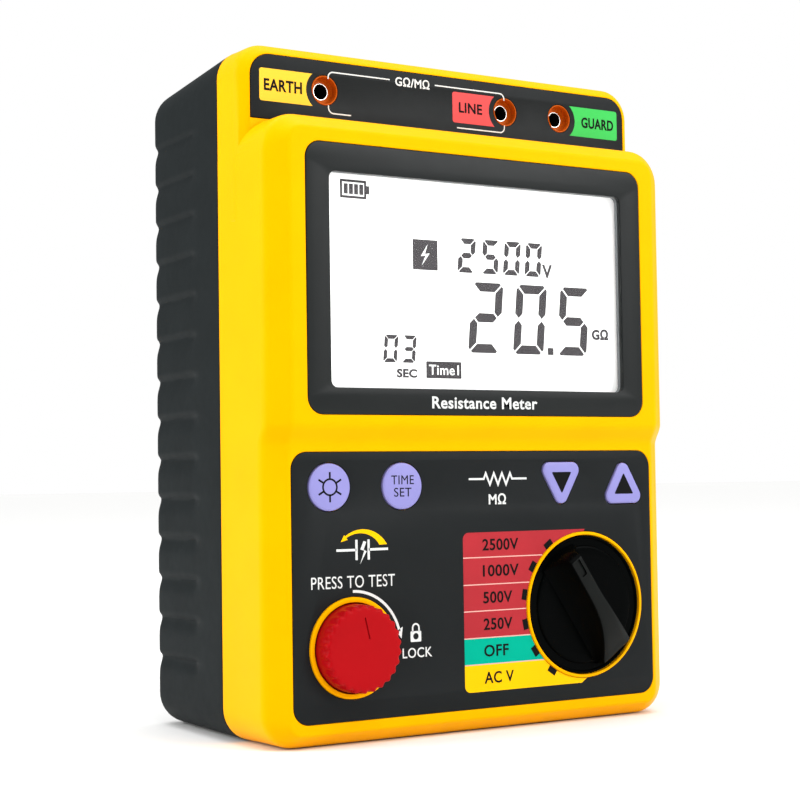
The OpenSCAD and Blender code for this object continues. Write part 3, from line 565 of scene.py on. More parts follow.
def block_body(name, inset, skin):
    """The raised block of the front shell, moved in by inset at its sides and by skin at its front."""
    edge = rounded_path([(0, 20), (0, CHAMFER_Y), (CHAMFER_X, 0), (CHAMFER_X + 2, 0)], [2.0, 1.0])
    soft = [SLOPE_Z[0] - 1 + 0.5 * i for i in range(18)]
    levels = [30, 55, 75] + soft + [110, 130, 150]
    y_open = Y_PART + (1 if inset else 0)
    rings = [case_ring(HALF_W - inset, inset, BLOCK_H - inset, CORNER_BOTTOM - inset, BLOCK_CORNER - inset,
                       levels, lambda z: y_open)]
    for into, behind in edge:
        rings.append(case_ring(
            HALF_W - FRONT_DRAFT - into - inset, inset + into * EDGE_BOTTOM / CHAMFER_X,
            BLOCK_H - inset - into * EDGE_TOP / CHAMFER_X, CORNER_BOTTOM - into - inset,
            BLOCK_CORNER - into - inset * 0.8, levels, lambda z, d=behind: front_level(z) + skin + d))
    return shell_loft(name, rings)


def deck_body(name, inset, skin):
    """The set-back deck above the block."""
    corners = [(0, 12), (0, DECK_CHAMFER_Y), (DECK_CHAMFER_X, 0), (DECK_CHAMFER_X + 1, 0)]
    foot_z = BLOCK_H - 30 + inset
    side = HALF_W - 0.22 - inset
    levels = [BLOCK_H - 15]
    y_open = Y_PART + (1 if inset else 0)
    top, r_top = HEIGHT - inset, CORNER_TOP - inset
    rings = [case_ring(side + 0.19, foot_z, top, 1, r_top, levels, lambda z: y_open)]
    for into, behind in rounded_path(corners, [1.6, 1.0]):
        rings.append(case_ring(side - into, foot_z, top - into, 1, r_top - into * 0.8, levels,
                               lambda z, d=behind: Y_DECK + skin + d))
    return shell_loft(name, rings)


def mouth(flare, y_face, y_floor):
    """Steps of a recess from its mouth, with a small round edge, to its floor, as (growth, y)."""
    return [(flare + 1, y_face - 1), (flare, y_face), (flare * 0.3, y_face + flare * 0.3),
            (0, y_face + flare), (0, y_floor)]


def recess(name, low, high, fit, y_face, y_floor, r, r_top):
    """Cutter for a recess round a panel's box."""
    rings = []
    for grow, y in mouth(0.35, y_face, y_floor):
        outline = node_box(low, high, fit + grow, r + grow, r_top + grow)
        rings.append([(x, y, z) for x, z in outline])
    return loft(name, rings)


def well(name, r, y_face, y_floor, x, z, flare=0.3, steps=96):
    """Cutter for a round well."""
    wall = [(r + grow, y) for grow, y in mouth(flare, y_face, y_floor)]
    return lathe(name, [(0, y_face - 1)] + wall + [(0, y_floor)], x, z, steps)


def collar(name, r, y_back, x, z):
    """Raised ring round a well, with a round front edge."""
    y_face = Y_CONTROL - COLLAR_PROUD
    return lathe(name, [(0, y_face), (r - 0.5, y_face), (r - 0.15, y_face + 0.12), (r, y_face + 0.5),
                        (r, y_back), (0, y_back)], x, z, 128)


def key_outline(node, grow=0.0):
    """Outline of a key, seen from the front."""
    x, z = centre(node)
    if node == "key_down":
        return rounded_triangle(x, KEYS_Z + TRIANGLE_SHIFT, TRIANGLE_REACH, TRIANGLE_R + grow, False)
    if node == "key_up":
        return rounded_triangle(x, KEYS_Z - TRIANGLE_SHIFT, TRIANGLE_REACH, TRIANGLE_R + grow, True)
    return circle(x, z, KEY_R + grow)


KEYS = ("key_light", "key_time", "key_down", "key_up")


def front_shell():
    shell = block_body("front_shell", 0, 0)
    combine(shell, deck_body("deck", 0, 0), "UNION")
    combine(shell, block_body("inner block", WALL, FRONT_SKIN))
    combine(shell, deck_body("inner deck", WALL, FRONT_SKIN))
    fit = 0.1
    deck_foot = (deck_low[0], 0, BLOCK_H + 0.4 + fit)
    for low, high, y, depth, r, r_top in (
            (bezel_low, bezel_high, Y_DISPLAY, BEZEL_T, PANEL_CORNER, PANEL_CORNER),
            (panel_low, panel_high, Y_CONTROL, PANEL_T, PANEL_CORNER, PANEL_CORNER),
            (deck_foot, deck_high, Y_DECK, PANEL_T, 0.05, TERMINAL_CORNER)):
        combine(shell, recess("seat", low, high, fit, y, y + depth, r, r_top))
    knob_floor = KNOB_FRONT + KNOB_T + 0.4
    button_floor = CAP_SKIRT + 4.4
    combine(shell, collar("knob collar", KNOB_COLLAR_R, knob_floor + WALL, KNOB_X, KNOB_Z), "UNION")
    combine(shell, collar("button collar", BUTTON_COLLAR_R, button_floor + 2, BUTTON_X, BUTTON_Z), "UNION")
    y_rim = Y_CONTROL - COLLAR_PROUD
    combine(shell, well("knob well", DIAL_R + GAP, y_rim, knob_floor, KNOB_X, KNOB_Z))
    combine(shell, well("button well", CAP_R + 0.5, y_rim, button_floor, BUTTON_X, BUTTON_Z))
    combine(shell, rod("bushing hole", 4.6, knob_floor - 1, knob_floor + WALL + 1, KNOB_X, KNOB_Z))
    combine(shell, rod("plunger hole", 4.0, button_floor - 1, button_floor + 3, BUTTON_X, BUTTON_Z))
    combine(shell, prism("window", window_box(2.7, 1), Y_DISPLAY - 1, Y_DISPLAY + 6))
    for node in KEYS:
        combine(shell, prism("key hole", key_outline(node, GAP), Y_CONTROL - 1, Y_CONTROL + 5))
    for x, z in SOCKETS.values():
        combine(shell, rod("socket hole", 5.7, Y_DECK - 1, Y_DECK + 5, x, z))
    place(shell, YELLOW, "case", "yellow_shell", ["front_case"])
    even_normals(shell)


def board_posts():
    """Posts inside the front shell that carry the user interface board."""
    spots = [(-52, 88), (52, 88), (-56, 170.5), (56, 170.5), (0, 23), (-56, 46)]
    y_end = span("front_board")[0][1]
    posts = []
    for x, z in spots:
        y_face = Y_DISPLAY if z > SLOPE_Z[1] else Y_CONTROL
        posts.append(rod("post", 3, y_face + FRONT_SKIN - 0.2, y_end, x, z, 32))
    place(join("board_posts", *posts), YELLOW, "case", "yellow_shell")


def groove_depth(y, z):
    """How deep the finger grooves in the sides of the rear shell are at a point."""
    row = min(max(round((z - GROOVE_Z) / GROOVE_PITCH), 0), GROOVES - 1)
    across = z - GROOVE_Z - GROOVE_PITCH * row
    ahead = max(GROOVE_FRONT + 4 - y, 0)
    reach = GROOVE_ABOVE if across > 0 else GROOVE_BELOW
    away = hypot(across / reach, ahead / GROOVE_FADE)
    return GROOVE_DEPTH * exp(-away ** 2) if away < 3 else 0.0


def rear_ring(y, inset=0.0, skin=0.0, grooved=False):
    """Outline of the rear shell at a depth, moved in by inset."""
    share = (y - Y_PART) / (Y_BACK - Y_PART)
    edge = Y_BACK - skin - y
    turn = max(BACK_ROUND - skin - edge, 0) / (BACK_ROUND - skin)
    rounding = (BACK_ROUND - skin) * (1 - sqrt(max(1 - turn * turn, 0)))
    t = inset + rounding
    steps = GROOVES * 18 if grooved else 4
    top = HEIGHT - TOP_DRAFT * share - t
    first, last = t + CORNER_BOTTOM, top - CORNER_TOP
    levels = [first + (last - first) * (i + 1) / (steps + 1) for i in range(steps)]
    flat = HALF_W - SIDE_DRAFT * share - t
    ring = case_ring(flat, t, top, max(CORNER_BOTTOM - t, 2), max(CORNER_TOP - t, 2), levels, lambda z: y)
    if not grooved:
        return ring
    moved = []
    for x, _, z in ring:
        side = min(max((abs(x) - flat + 1.5) / 1.5, 0), 1)
        moved.append((x - copysign(groove_depth(y, z) * side, x), y, z))
    return moved


def rear_shell():
    gap_y = [(Y_PART, 0.45), (Y_PART + 0.55, 0.45), (Y_PART + 0.75, 0.12), (Y_PART + 1.1, 0)]
    run = [Y_PART + 4, Y_PART + 8, Y_PART + 12]
    run += [GROOVE_FRONT - 4 + i for i in range(12)]
    run += [GROOVE_FRONT + 10 + 3 * i for i in range(6)]
    bend = [Y_BACK - BACK_ROUND + BACK_ROUND * sin(radians(a)) for a in range(0, 91, 9)]
    rings = [rear_ring(y, inset, 0, True) for y, inset in gap_y]
    rings += [rear_ring(y, 0, 0, True) for y in run + bend]
    shell = shell_loft("rear_shell", rings)
    inner_bend = [Y_BACK - WALL - (BACK_ROUND - WALL) * (1 - sin(radians(a))) for a in range(0, 91, 15)]
    inner = [rear_ring(y, WALL, WALL) for y in [Y_PART - 1, 10] + inner_bend]
    combine(shell, shell_loft("inner rear", inner))
    pad_y = Y_BACK - WALL - 2
    frame_box = rounded_box(cover_low[0] - 3.3, cover_high[0] + 3.3, cover_low[2] - 3, cover_high[2] + 3, 4)
    combine(shell, prism("cover frame", frame_box, pad_y, Y_BACK - 1), "UNION")
    for x, z in CASE_SCREWS:
        combine(shell, rod("tower", TOWER_R, Y_PART, Y_BACK - 1, x, z, 48), "UNION")
    for x, z in COVER_SCREWS:
        combine(shell, rod("boss", BOSS_R, pad_y - 4, pad_y + 0.5, x, z, 32), "UNION")
    combine(shell, cover_seat())
    combine(shell, prism("opening", rounded_box(-54, 54, 36, 96, 2), pad_y - 1, Y_BACK))
    for x, z in CASE_SCREWS:
        combine(shell, back_well(SCREW_HEAD_R, 0.0, x, z))
        combine(shell, rod("screw hole", CASE_SCREW_R, Y_PART - 1, 1, x, z, 32))
    for x, z in COVER_SCREWS:
        combine(shell, rod("screw hole", COVER_SCREW_R, pad_y - 3.5, Y_BACK, x, z, 32))
    for x, z in FEET:
        combine(shell, back_well(FOOT_R + 0.1, Y_BACK - 0.8, x, z, 0.15))
    place(shell, DARK, "case", "dark_shell", ["rear_case"])
    even_normals(shell)


def cover_seat():
    """Cutter for the recess that the battery cover lies in."""
    rings = []
    for grow, y in [(0, Y_BACK - 2.4), (0, Y_BACK - 0.3), (0.3, Y_BACK), (1.3, Y_BACK + 1)]:
        outline = node_box(cover_low, cover_high, GAP + grow, COVER_CORNER + GAP + grow)
        rings.append([(x, y, z) for x, z in outline])
    return loft("cover seat", rings)


def back_well(r, y_floor, x, z, flare=0.4):
    """Cutter for a round well in the back face."""
    return lathe("back well", [(0, y_floor), (r, y_floor), (r, Y_BACK - flare), (r + flare, Y_BACK),
                               (r + flare + 1, Y_BACK + 1), (0, Y_BACK + 1)], x, z, 64)


def battery_cover():
    """Cover with its locating rib and a patch of grip ribs."""
    y_front = Y_BACK - 2.3
    holes = [circle(x, z, COVER_HOLE_R) for x, z in COVER_SCREWS]
    plate = node_box(cover_low, cover_high, 0, COVER_CORNER)
    place(sheet_piece("battery_door", [plate] + holes, y_front, Y_BACK, 0.35), DARK, "battery_cover",
          "dark_shell", ["battery_cover"])
    rib = [rounded_box(-53.7, 53.7, 36.3, 95.7, 1.5), rounded_box(-52, 52, 38, 94, 1)]
    rib = sheet_piece("door_rib", rib, y_front - 2, y_front + 0.05, 0.1)
    place(rib, DARK, "battery_cover", "dark_shell")
    grips = [prism("grip", rounded_box(-16, 16, z - 0.7, z + 0.7, 0.69), Y_BACK - 0.1, Y_BACK + 0.5)
             for z in [36 + 3.2 * i for i in range(6)]]
    place(join("door_grips", *grips), DARK, "battery_cover", "dark_shell")


def rear_feet():
    edge = [(0, -0.8), (FOOT_R, -0.8), (FOOT_R, 1.4), (FOOT_R - 0.2, 1.8), (FOOT_R - 0.6, 2), (0, 2)]
    profile = [(r, Y_BACK + proud) for r, proud in edge]
    feet = [lathe("foot", profile, x, z, 64) for x, z in FEET]
    place(join("rubber_feet", *feet), RUBBER, "case", "foot_rubber", ["rear_feet"])


# ---------- panels and their print ----------

def window_box(grow, r):
    """Outline of the display window, grown all round."""
    return rounded_box(-WINDOW_HW - grow, WINDOW_HW + grow, WINDOW_Z[0] - grow, WINDOW_Z[1] + grow, r)


def display():
    outer = node_box(bezel_low, bezel_high, 0, PANEL_CORNER)
    opening = window_box(0, 2)
    y_rib = Y_DISPLAY + BEZEL_T
    place(sheet_piece("bezel", [outer, opening], Y_DISPLAY, y_rib, 0.25), BEZEL, nodes=["display_bezel"])
    rib = window_box(2.6, 1)
    y_lens = span("lcd_window")[0][1]
    place(sheet_piece("window_frame", [rib, opening], y_rib - 0.05, y_lens, 0.05), LINER)


def control_panel():
    outer = node_box(panel_low, panel_high, 0, PANEL_CORNER)
    holes = [key_outline(node, GAP) for node in KEYS]
    holes.append(circle(KNOB_X, KNOB_Z, KNOB_COLLAR_R + 0.1, 128))
    holes.append(circle(BUTTON_X, BUTTON_Z, BUTTON_COLLAR_R + 0.1, 128))
    plate = sheet_piece("control_plate", [outer] + holes, Y_CONTROL, Y_CONTROL + PANEL_T, 0.12)
    place(plate, PANEL, nodes=["control_panel"])


def terminal_panel():
    outer = rounded_box(deck_low[0], deck_high[0], deck_low[2] + 0.4, deck_high[2], 0.3, TERMINAL_CORNER)
    holes = [circle(x, z, 4.55) for x, z in SOCKETS.values()]
    plate = sheet_piece("terminal_plate", [outer] + holes, Y_DECK, Y_DECK + PANEL_T, 0.12)
    place(plate, PANEL, nodes=["terminal_panel"])


def printed(name, loops, y=Y_CONTROL, material=INK_WHITE, body="case", slot="panel_plate"):
    """Print on a face at depth y: a film a few hundredths thick."""
    return place(sheet_piece(name, loops, y - LABEL_T / 2, y + LABEL_T / 2), material, body, slot)


def words(name, text, x0, x1, z0, z1, y=Y_CONTROL, material=INK_WHITE, body="case", slot="panel_plate",
          weight=0.02):
    return place(lettering(name, text, x0, x1, z0, z1, y, weight), material, body, slot)


RANGE_X0 = -7.3
RANGE_X1 = 38.9
RANGE_Z = [59.3, 51.8, 43.7, 35.8, 27.8, 19.9, 11.8]
TICK_FIRST = 126
TICK_STEP = 22
TICK_R = 24.5
TICK_WIDTH = 3.2


def range_rows():
    """Coloured rows of the selector, the words in them and the marks round the knob."""
    titles = ["2500V", "1000V", "500V", "250V", "OFF", "AC V"]
    inks = [LABEL_RED] * 4 + [LABEL_TEAL, LABEL_YELLOW]
    width = [13.3, 13.3, 10.7, 10.6, 9.0, 10.8]
    text_x, text_half = -0.2, 1.75
    gap_half = 0.16
    hole_r = KNOB_COLLAR_R + 0.12
    for i, title in enumerate(titles):
        high = RANGE_Z[i] - (0 if i == 0 else gap_half)
        low = RANGE_Z[i + 1] + (0 if i == len(titles) - 1 else gap_half)
        left = [(RANGE_X0, high), (RANGE_X0, low)]
        if i == 0:
            left = arc(RANGE_X0 + 2, high - 2, 2, 90, 180, 6) + [(RANGE_X0, low)]
        if i == len(titles) - 1:
            left = [(RANGE_X0, high)] + arc(RANGE_X0 + 2, low + 2, 2, 180, 270, 6)
        start, end = [degrees(asin(max(-1, min(1, (z - KNOB_Z) / hole_r)))) for z in (low, high)]
        hug = arc(KNOB_X, KNOB_Z, hole_r, 180 - start, 180 - end, 16)
        if i == 0:
            hug = [p for p in arc(KNOB_X, KNOB_Z, hole_r, 180 - start, 90, 16) if p[1] <= high]
            hug.append((RANGE_X1, high))
        if i == len(titles) - 1:
            hug = [(RANGE_X1 - 2.2, low), (RANGE_X1, low + 1.5)]
            hug += arc(KNOB_X, KNOB_Z, hole_r, 270, 180 - end, 16)
        printed("range_row_%d" % (i + 1), [left + hug], material=inks[i])
        middle = (RANGE_Z[i] + RANGE_Z[i + 1]) / 2
        words("range_text_%d" % (i + 1), title, text_x, text_x + width[i], middle - text_half,
              middle + text_half, Y_CONTROL - LABEL_T, INK_DARK, weight=0.015)
        if i:
            edge = KNOB_X - sqrt(hole_r ** 2 - (RANGE_Z[i] - KNOB_Z) ** 2)
            line = bar(RANGE_X0, RANGE_Z[i], edge, RANGE_Z[i], gap_half * 2)
            printed("range_line_%d" % i, [line], material=SEPARATOR)
        angle = TICK_FIRST + TICK_STEP * i
        inner, outer = [polar(KNOB_X, KNOB_Z, r, angle) for r in (KNOB_COLLAR_R + 0.1, TICK_R)]
        printed("range_tick_%d" % (i + 1), [bar(*inner, *outer, TICK_WIDTH)], Y_CONTROL - LABEL_T, INK_DARK)


def test_print():
    """Print round the test button: its words, the turn-to-lock arc and the discharge symbol."""
    words("press_to_test", "PRESS TO TEST", -59.5, -31.5, 44.7, 48.2, weight=0.0)
    words("lock_word", "LOCK", -29.2, -18.9, 23.5, 26.4, weight=0.008)
    r = 16.1
    sweep = arc(BUTTON_X, BUTTON_Z, r + 0.4, 90, 14, 20) + arc(BUTTON_X, BUTTON_Z, r - 0.4, 14, 90, 20)
    printed("lock_arc", [sweep])
    tip = [polar(BUTTON_X, BUTTON_Z, q, a) for q, a in [(r - 1.0, 15), (r + 1.4, 17), (r + 0.3, 6)]]
    printed("lock_arrow", [tip])
    x, z = -24.5, 31.0
    body = rounded_box(x - 1.85, x + 1.85, z - 2.9, z + 0.2, 0.3)
    shackle = ([(x - 1.35, z)] + arc(x, z + 1.2, 1.35, 180, 0, 12) + [(x + 1.35, z), (x + 0.85, z)]
               + arc(x, z + 1.2, 0.85, 0, 180, 12) + [(x - 0.85, z)])
    printed("padlock_body", [body, circle(x, z - 1.3, 0.95, 24)])
    printed("padlock_shackle", [shackle])
    mid = 55.5
    for side, x, end in (("left", -44.4, -51.1), ("right", -40.3, -33.7)):
        printed("capacitor_lead_" + side, [bar(x, mid, end, mid, 0.7)])
        printed("capacitor_plate_" + side, [bar(x, mid - 2.9, x, mid + 2.9, 0.75)])
    bolt = [(-42.0, 58.0), (-43.1, 55.6), (-41.8, 55.2), (-43.2, 51.4), (-41.0, 55.0), (-42.0, 55.5),
            (-41.1, 57.7)]
    printed("discharge_bolt", [bolt])
    x, z, end, steps = -41.6, 51.4, 129, 24
    part = [k / steps for k in range(steps + 1)]
    outer = [polar(x, z, 9.3 + 1.1 * t, 36 + (end - 36) * t) for t in part]
    inner = [polar(x, z, 7.3 + 2.5 * t ** 0.9, 47 + (end - 47) * t) for t in part]
    head = [polar(x, z, r, end + turn) for r, turn in ((10.9, 0), (10.3, 12), (9.1, 0))]
    printed("discharge_arc", [outer + head + inner[::-1]], material=LABEL_YELLOW)


def resistor_print():
    """A plain resistor symbol and the unit it is read in, in the middle of the key row."""
    x0, z, swing, step = 2.2, 75.3, 1.7, 1.5
    points = [(x0 - 7, z), (x0 - 1.5, z)]
    points += [(x0 - 0.75 + step * i, z + (swing if i % 2 == 0 else -swing)) for i in range(7)]
    points += [(x0 + 9, z), (x0 + 14.5, z)]
    printed("resistor_symbol", [bent_bar(points, 0.6)])
    words("resistor_unit", "MΩ", 2.4, 8.8, 67.6, 70.9)


def terminal_tag(name, x_far, x_near, material):
    """Coloured tag beside a socket, whose near end is bitten out by a ring round the socket."""
    low, high, bite_r, r = 186.1, 195.7, 6.4, 0.8
    side = 0 if x_near > x_far else 180
    swing = degrees(asin((high - low) / 2 / bite_r))
    x = x_far + copysign(r, x_near - x_far)
    if side:
        plain = arc(x, low + r, r, -90, 0, 5) + arc(x, high - r, r, 0, 90, 5)
    else:
        plain = arc(x, high - r, r, 90, 180, 5) + arc(x, low + r, r, 180, 270, 5)
    bite = arc(SOCKETS[name][0], (low + high) / 2, bite_r, 180 - side + swing, 180 - side - swing, 16)
    printed(name + "_tag", [plain + bite], Y_DECK, material)


def terminal_print():
    """Tags, unit and brackets on the terminal strip."""
    for name, x_far, x_near, material in (("earth", -66.5, -50.1, TAG_YELLOW), ("line", 1.4, 16.5, TAG_RED),
                                          ("guard", 67.0, 48.8, TAG_GREEN)):
        terminal_tag(name, x_far, x_near, material)
    for name, box, weight in (("earth", (-65.0, -52.3, 189.2, 192.7), 0.026),
                              ("line", (3.8, 12.6, 189.4, 192.6), 0.02),
                              ("guard", (52.2, 65.5, 189.1, 192.6), 0.026)):
        words(name + "_word", name.upper(), *box, Y_DECK - LABEL_T, INK_DARK, weight=weight)
    words("unit_word", "GΩ/MΩ", -19.6, -7.1, 195.3, 198.2, Y_DECK)
    ends = {"left": SOCKETS["earth"][0] + 1.2, "right": SOCKETS["line"][0] - 0.4}
    r = 1.7
    for level, way, z_start, z_bend, inner in (("top", 1, 194.8, 195.2, (-21.6, -5.1)),
                                               ("low", -1, 186.9, 186.2, (-35.5, 3.0))):
        end = 180 - 90 * way
        for side, turn, x_inner in zip(("left", "right"), (1, -1), inner):
            x = ends[side]
            bend = arc(x + turn * r, z_bend, r, end + 90 * turn * way, end, 6)
            line = bent_bar([(x, z_start)] + bend + [(x_inner, z_bend + r * way)], 0.38)
            printed(f"bracket_{level}_{side}", [line], Y_DECK)


def key_caps():
    """The four keys, with their symbols."""
    y_top, y_end = [corner[1] for corner in span("key_light")]
    y_flange = Y_CONTROL + PANEL_T + WALL + GAP
    stem = [(0, y_flange), (2, y_flange), (2, y_end), (0, y_end)]
    edge = [(-0.7, y_top), (-0.3, y_top + 0.08), (-0.08, y_top + 0.25), (0, y_top + 0.6), (0, y_flange),
            (1.4, y_flange), (1.4, y_flange + 1.2)]
    for node in KEYS:
        x, z = centre(node)
        if node in ("key_light", "key_time"):
            profile = [(0, y_top)] + [(KEY_R + grow, y) for grow, y in edge]
            profile += [(2, y_flange + 1.2), (2, y_end), (0, y_end)]
            cap = lathe(node + "_cap", profile, x, z)
        else:
            cap = loft(node + "_cap", [[(a, y, b) for a, b in key_outline(node, grow)] for grow, y in edge])
            combine(cap, lathe("stem", stem, x, KEYS_Z, 32), "UNION")
        place(cap, LAVENDER, node, "lavender_key", [node])
    y = y_top
    x, z = centre("key_light")
    ring = [circle(x, z, 2.55, 48), circle(x, z, 2.02, 48)]
    printed("sun_ring", ring, y, INK_DARK, "key_light", "lavender_key")
    for i in range(6):
        angle = 60 * i + 90
        ray = bar(*polar(x, z, 2.5, angle), *polar(x, z, 4.3, angle), 0.56)
        printed("sun_ray_%d" % (i + 1), [ray], y, INK_DARK, "key_light", "lavender_key")
    x, z = centre("key_time")
    for name, text, half, z_low in (("time_word", "TIME", 3.9, z + 0.5), ("set_word", "SET", 3.0, z - 3.1)):
        words(name, text, x - half, x + half, z_low, z_low + 2.6, y, INK_DARK, "key_time",
              "lavender_key", 0)
    for node, shift, up in (("key_down", 1.3, False), ("key_up", -1.4, True)):
        x = centre(node)[0]
        mark = rounded_triangle(x, KEYS_Z + shift, 3.9, 0.25, up)
        printed(node + "_mark", [mark], y, INK_DARK, node, "lavender_key")


# ---------- display contents ----------

SEGMENTS = {"0": "abcdef", "2": "abged", "3": "abgcd", "5": "afgcd"}


def digit_loops(text, x, z, width, height, thick):
    """Seven-segment digit, leaning to the right, whose lower left corner is at (x, z)."""
    lean = 0.09
    cut = thick * 0.14
    nip = thick * 0.2
    mid = height / 2
    half = thick / 2

    def level():
        return [(half + cut, mid), (thick + cut, mid + half), (width - thick - cut, mid + half),
                (width - half - cut, mid), (width - thick - cut, mid - half), (thick + cut, mid - half)]

    def outer(z_at, inward):
        half_shape = [(cut + nip, z_at + inward * nip), (cut + 2 * nip, z_at)]
        other_half = [(width - x, z) for x, z in reversed(half_shape)]
        z_inner = z_at + inward * thick
        return half_shape + other_half + [(width - thick - cut, z_inner), (thick + cut, z_inner)]

    def upright(x_at, across, z_end, along):
        shape = [(0, z_end + along * (cut + 2 * nip)), (nip, z_end + along * (cut + nip)),
                 (thick, z_end + along * (thick + cut)), (thick, mid - along * (half + cut)),
                 (half, mid - along * cut), (0, mid - along * (half + cut))]
        return [(x_at + across * x, z) for x, z in shape]

    shapes = {
        "a": outer(height, -1), "d": outer(0, 1), "g": level(),
        "f": upright(0, 1, height, -1), "b": upright(width, -1, height, -1),
        "e": upright(0, 1, 0, 1), "c": upright(width, -1, 0, 1),
    }
    return [[(x + a + lean * b, z + b) for a, b in shapes[s]] for s in SEGMENTS[text]]


def lcd_mark(name, loops, ink=SEGMENT, lift=0.0):
    """Dark or light shape on the display glass."""
    printed(name, loops, LCD_INK - lift, ink, slot="lcd_glass")


def lcd_words(name, text, x0, x1, z0, z1, weight=0.02, ink=SEGMENT, lift=0.0):
    words(name, text, x0, x1, z0, z1, LCD_INK - lift, ink, slot="lcd_glass", weight=weight)


def number(name, text, starts, z, width, height, thick):
    loops = []
    for digit, x in zip(text, starts):
        loops += digit_loops(digit, x, z, width, height, thick)
    lcd_mark(name, loops)


def lcd_contents():
    number("lcd_voltage", "2500", (-6.9, 1.9, 10.0, 18.2), 137.5, 6.1, 10.4, 1.7)
    number("lcd_reading", "205", (-3.4, 13.3, 30.2), 113.4, 11.6, 21.4, 2.75)
    lcd_mark("lcd_point", [rounded_box(26.7, 28.9, 113.4, 115.6, 0.2)])
    number("lcd_seconds", "03", (-33.7, -27.3), 109.8, 4.7, 8.1, 1.2)
    lcd_words("lcd_volt_unit", "V", 25.0, 28.9, 137.2, 141.5, 0.03)
    lcd_words("lcd_unit", "GΩ", 44.2, 50.8, 118.6, 122.1, 0.045)
    lcd_words("lcd_sec", "SEC", -29.0, -21.9, 105.4, 108.0, 0.04)
    lcd_mark("lcd_time_box", [rounded_box(-18.6, -6.0, 105.4, 110.4, 0.2)])
    lcd_words("lcd_time_word", "Time1", -17.7, -7.0, 106.4, 109.4, 0.008, LCD_WHITE_GLOW, LABEL_T)
    lcd_mark("lcd_bolt_box", [rounded_box(-22.8, -14.0, 137.6, 146.6, 0.2)])
    bolt = [(-17.6, 145.2), (-20.0, 141.6), (-18.3, 141.9), (-19.7, 138.9), (-16.9, 142.6), (-18.6, 142.3)]
    lcd_mark("lcd_bolt", [bolt], LCD_WHITE_GLOW, LABEL_T)
    x, z = -47.6, 157.2
    shell = rounded_box(x, x + 8.9, z, z + 5.4, 0.15)
    lcd_mark("lcd_battery", [shell, rounded_box(x + 0.7, x + 8.2, z + 0.7, z + 4.7, 0.1)])
    lcd_mark("lcd_battery_tip", [rounded_box(x + 8.95, x + 9.9, z + 1.5, z + 3.9, 0.1)])
    starts = [x + 1.3 + 1.75 * i for i in range(4)]
    lcd_mark("lcd_battery_bars", [rounded_box(x0, x0 + 1.3, z + 1.2, z + 4.2, 0.1) for x0 in starts])


# ---------- knob, button and sockets ----------

def grip_section(u):
    """Half width at the base and at the top and height of the knob's grip, u along it to the pointer."""
    base = min(7.2, sqrt(max(GRIP_REACH ** 2 - u * u, 0.3)))
    fan = min(max((6 - u) / 23, 0), 1)
    top = 2.1 + 3.9 * fan ** 2
    slope = min(max(-u / 17, 0), 1)
    height = GRIP_H - (GRIP_H - 3.4) * slope ** 1.8
    front = min(max((u - 17.0) / 2.0, 0), 1)
    top *= 1 - 0.2 * front ** 2
    height *= 1 - 0.9 * front ** 3
    tail = min(max((-u - 17.2) / 2.2, 0), 1)
    height *= 1 - 0.85 * tail ** 2
    return base, min(top, base * 0.92), height


def knob():
    disc_r = 18.2
    front, back = KNOB_FRONT, KNOB_FRONT + KNOB_T
    edge = [(0, 0.35), (10, 0.3), (15, 0.14), (disc_r - 0.6, 0), (disc_r - 0.2, 0.1), (disc_r, 0.35),
            (disc_r + 0.1, 0.7), (DIAL_R - 0.9, 0.7), (DIAL_R - 0.6, 0.15), (DIAL_R - 0.25, 0.1),
            (DIAL_R, 0.4)]
    profile = [(r, front + behind) for r, behind in edge]
    profile += [(DIAL_R, back), (3, back), (3, front + 1), (0, front + 1)]
    turn = Matrix.Rotation(radians(180 + KNOB_ANGLE), 4, "Y")
    put = Matrix.Translation((KNOB_X * MM, 0, KNOB_Z * MM)) @ turn
    dial = lathe("knob_dial", profile, 0, 0, 128)
    dial.data.transform(put)
    place(dial, GLOSS_BLACK, "knob", "black_gloss", ["rotary_knob"], 38)
    stations = [-19.3, -19.0, -18.6, -18.0, -17.2, -16.2, -15] + [-14 + i for i in range(0, 31)]
    stations += [17.2, 17.8, 18.2, 18.6, 18.9, 19.0]
    rings = []
    for u in stations:
        base, top, height = grip_section(u)
        foot = 0.9
        half = [(base, -foot), (base, 0)]
        rise = [0.2 * (i + 1) for i in range(5)]
        half += [(base + (top + 0.35 - base) * t, (height - 0.5) * t ** 1.5) for t in rise]
        half += [(top + 0.28, height - 0.22), (top, height - 0.05), (top * 0.6, height), (0, height + 0.02)]
        section = half + [(-v, w) for v, w in reversed(half[:-1])]
        rings.append([(u, front - w, v) for v, w in section])
    grip = loft("knob_grip", rings)
    slot = rounded_box(11.4, 16.9, -1.05, 1.05, 0.4)
    combine(grip, prism("pointer slot", slot, front - GRIP_H - 1, front - GRIP_H + 0.6))
    # Faces turned to the front get the lighter grip black: a painted highlight on the ridge top.
    painted_highlight_faces = [face.normal.y < -0.86 for face in grip.data.polygons]
    grip.data.transform(put)
    place(grip, GLOSS_BLACK, "knob", "black_gloss", (), 38)
    grip.data.materials.append(GRIP_PAINTED_HIGHLIGHT)
    for face, lit in zip(grip.data.polygons, painted_highlight_faces):
        face.material_index = 1 if lit else 0


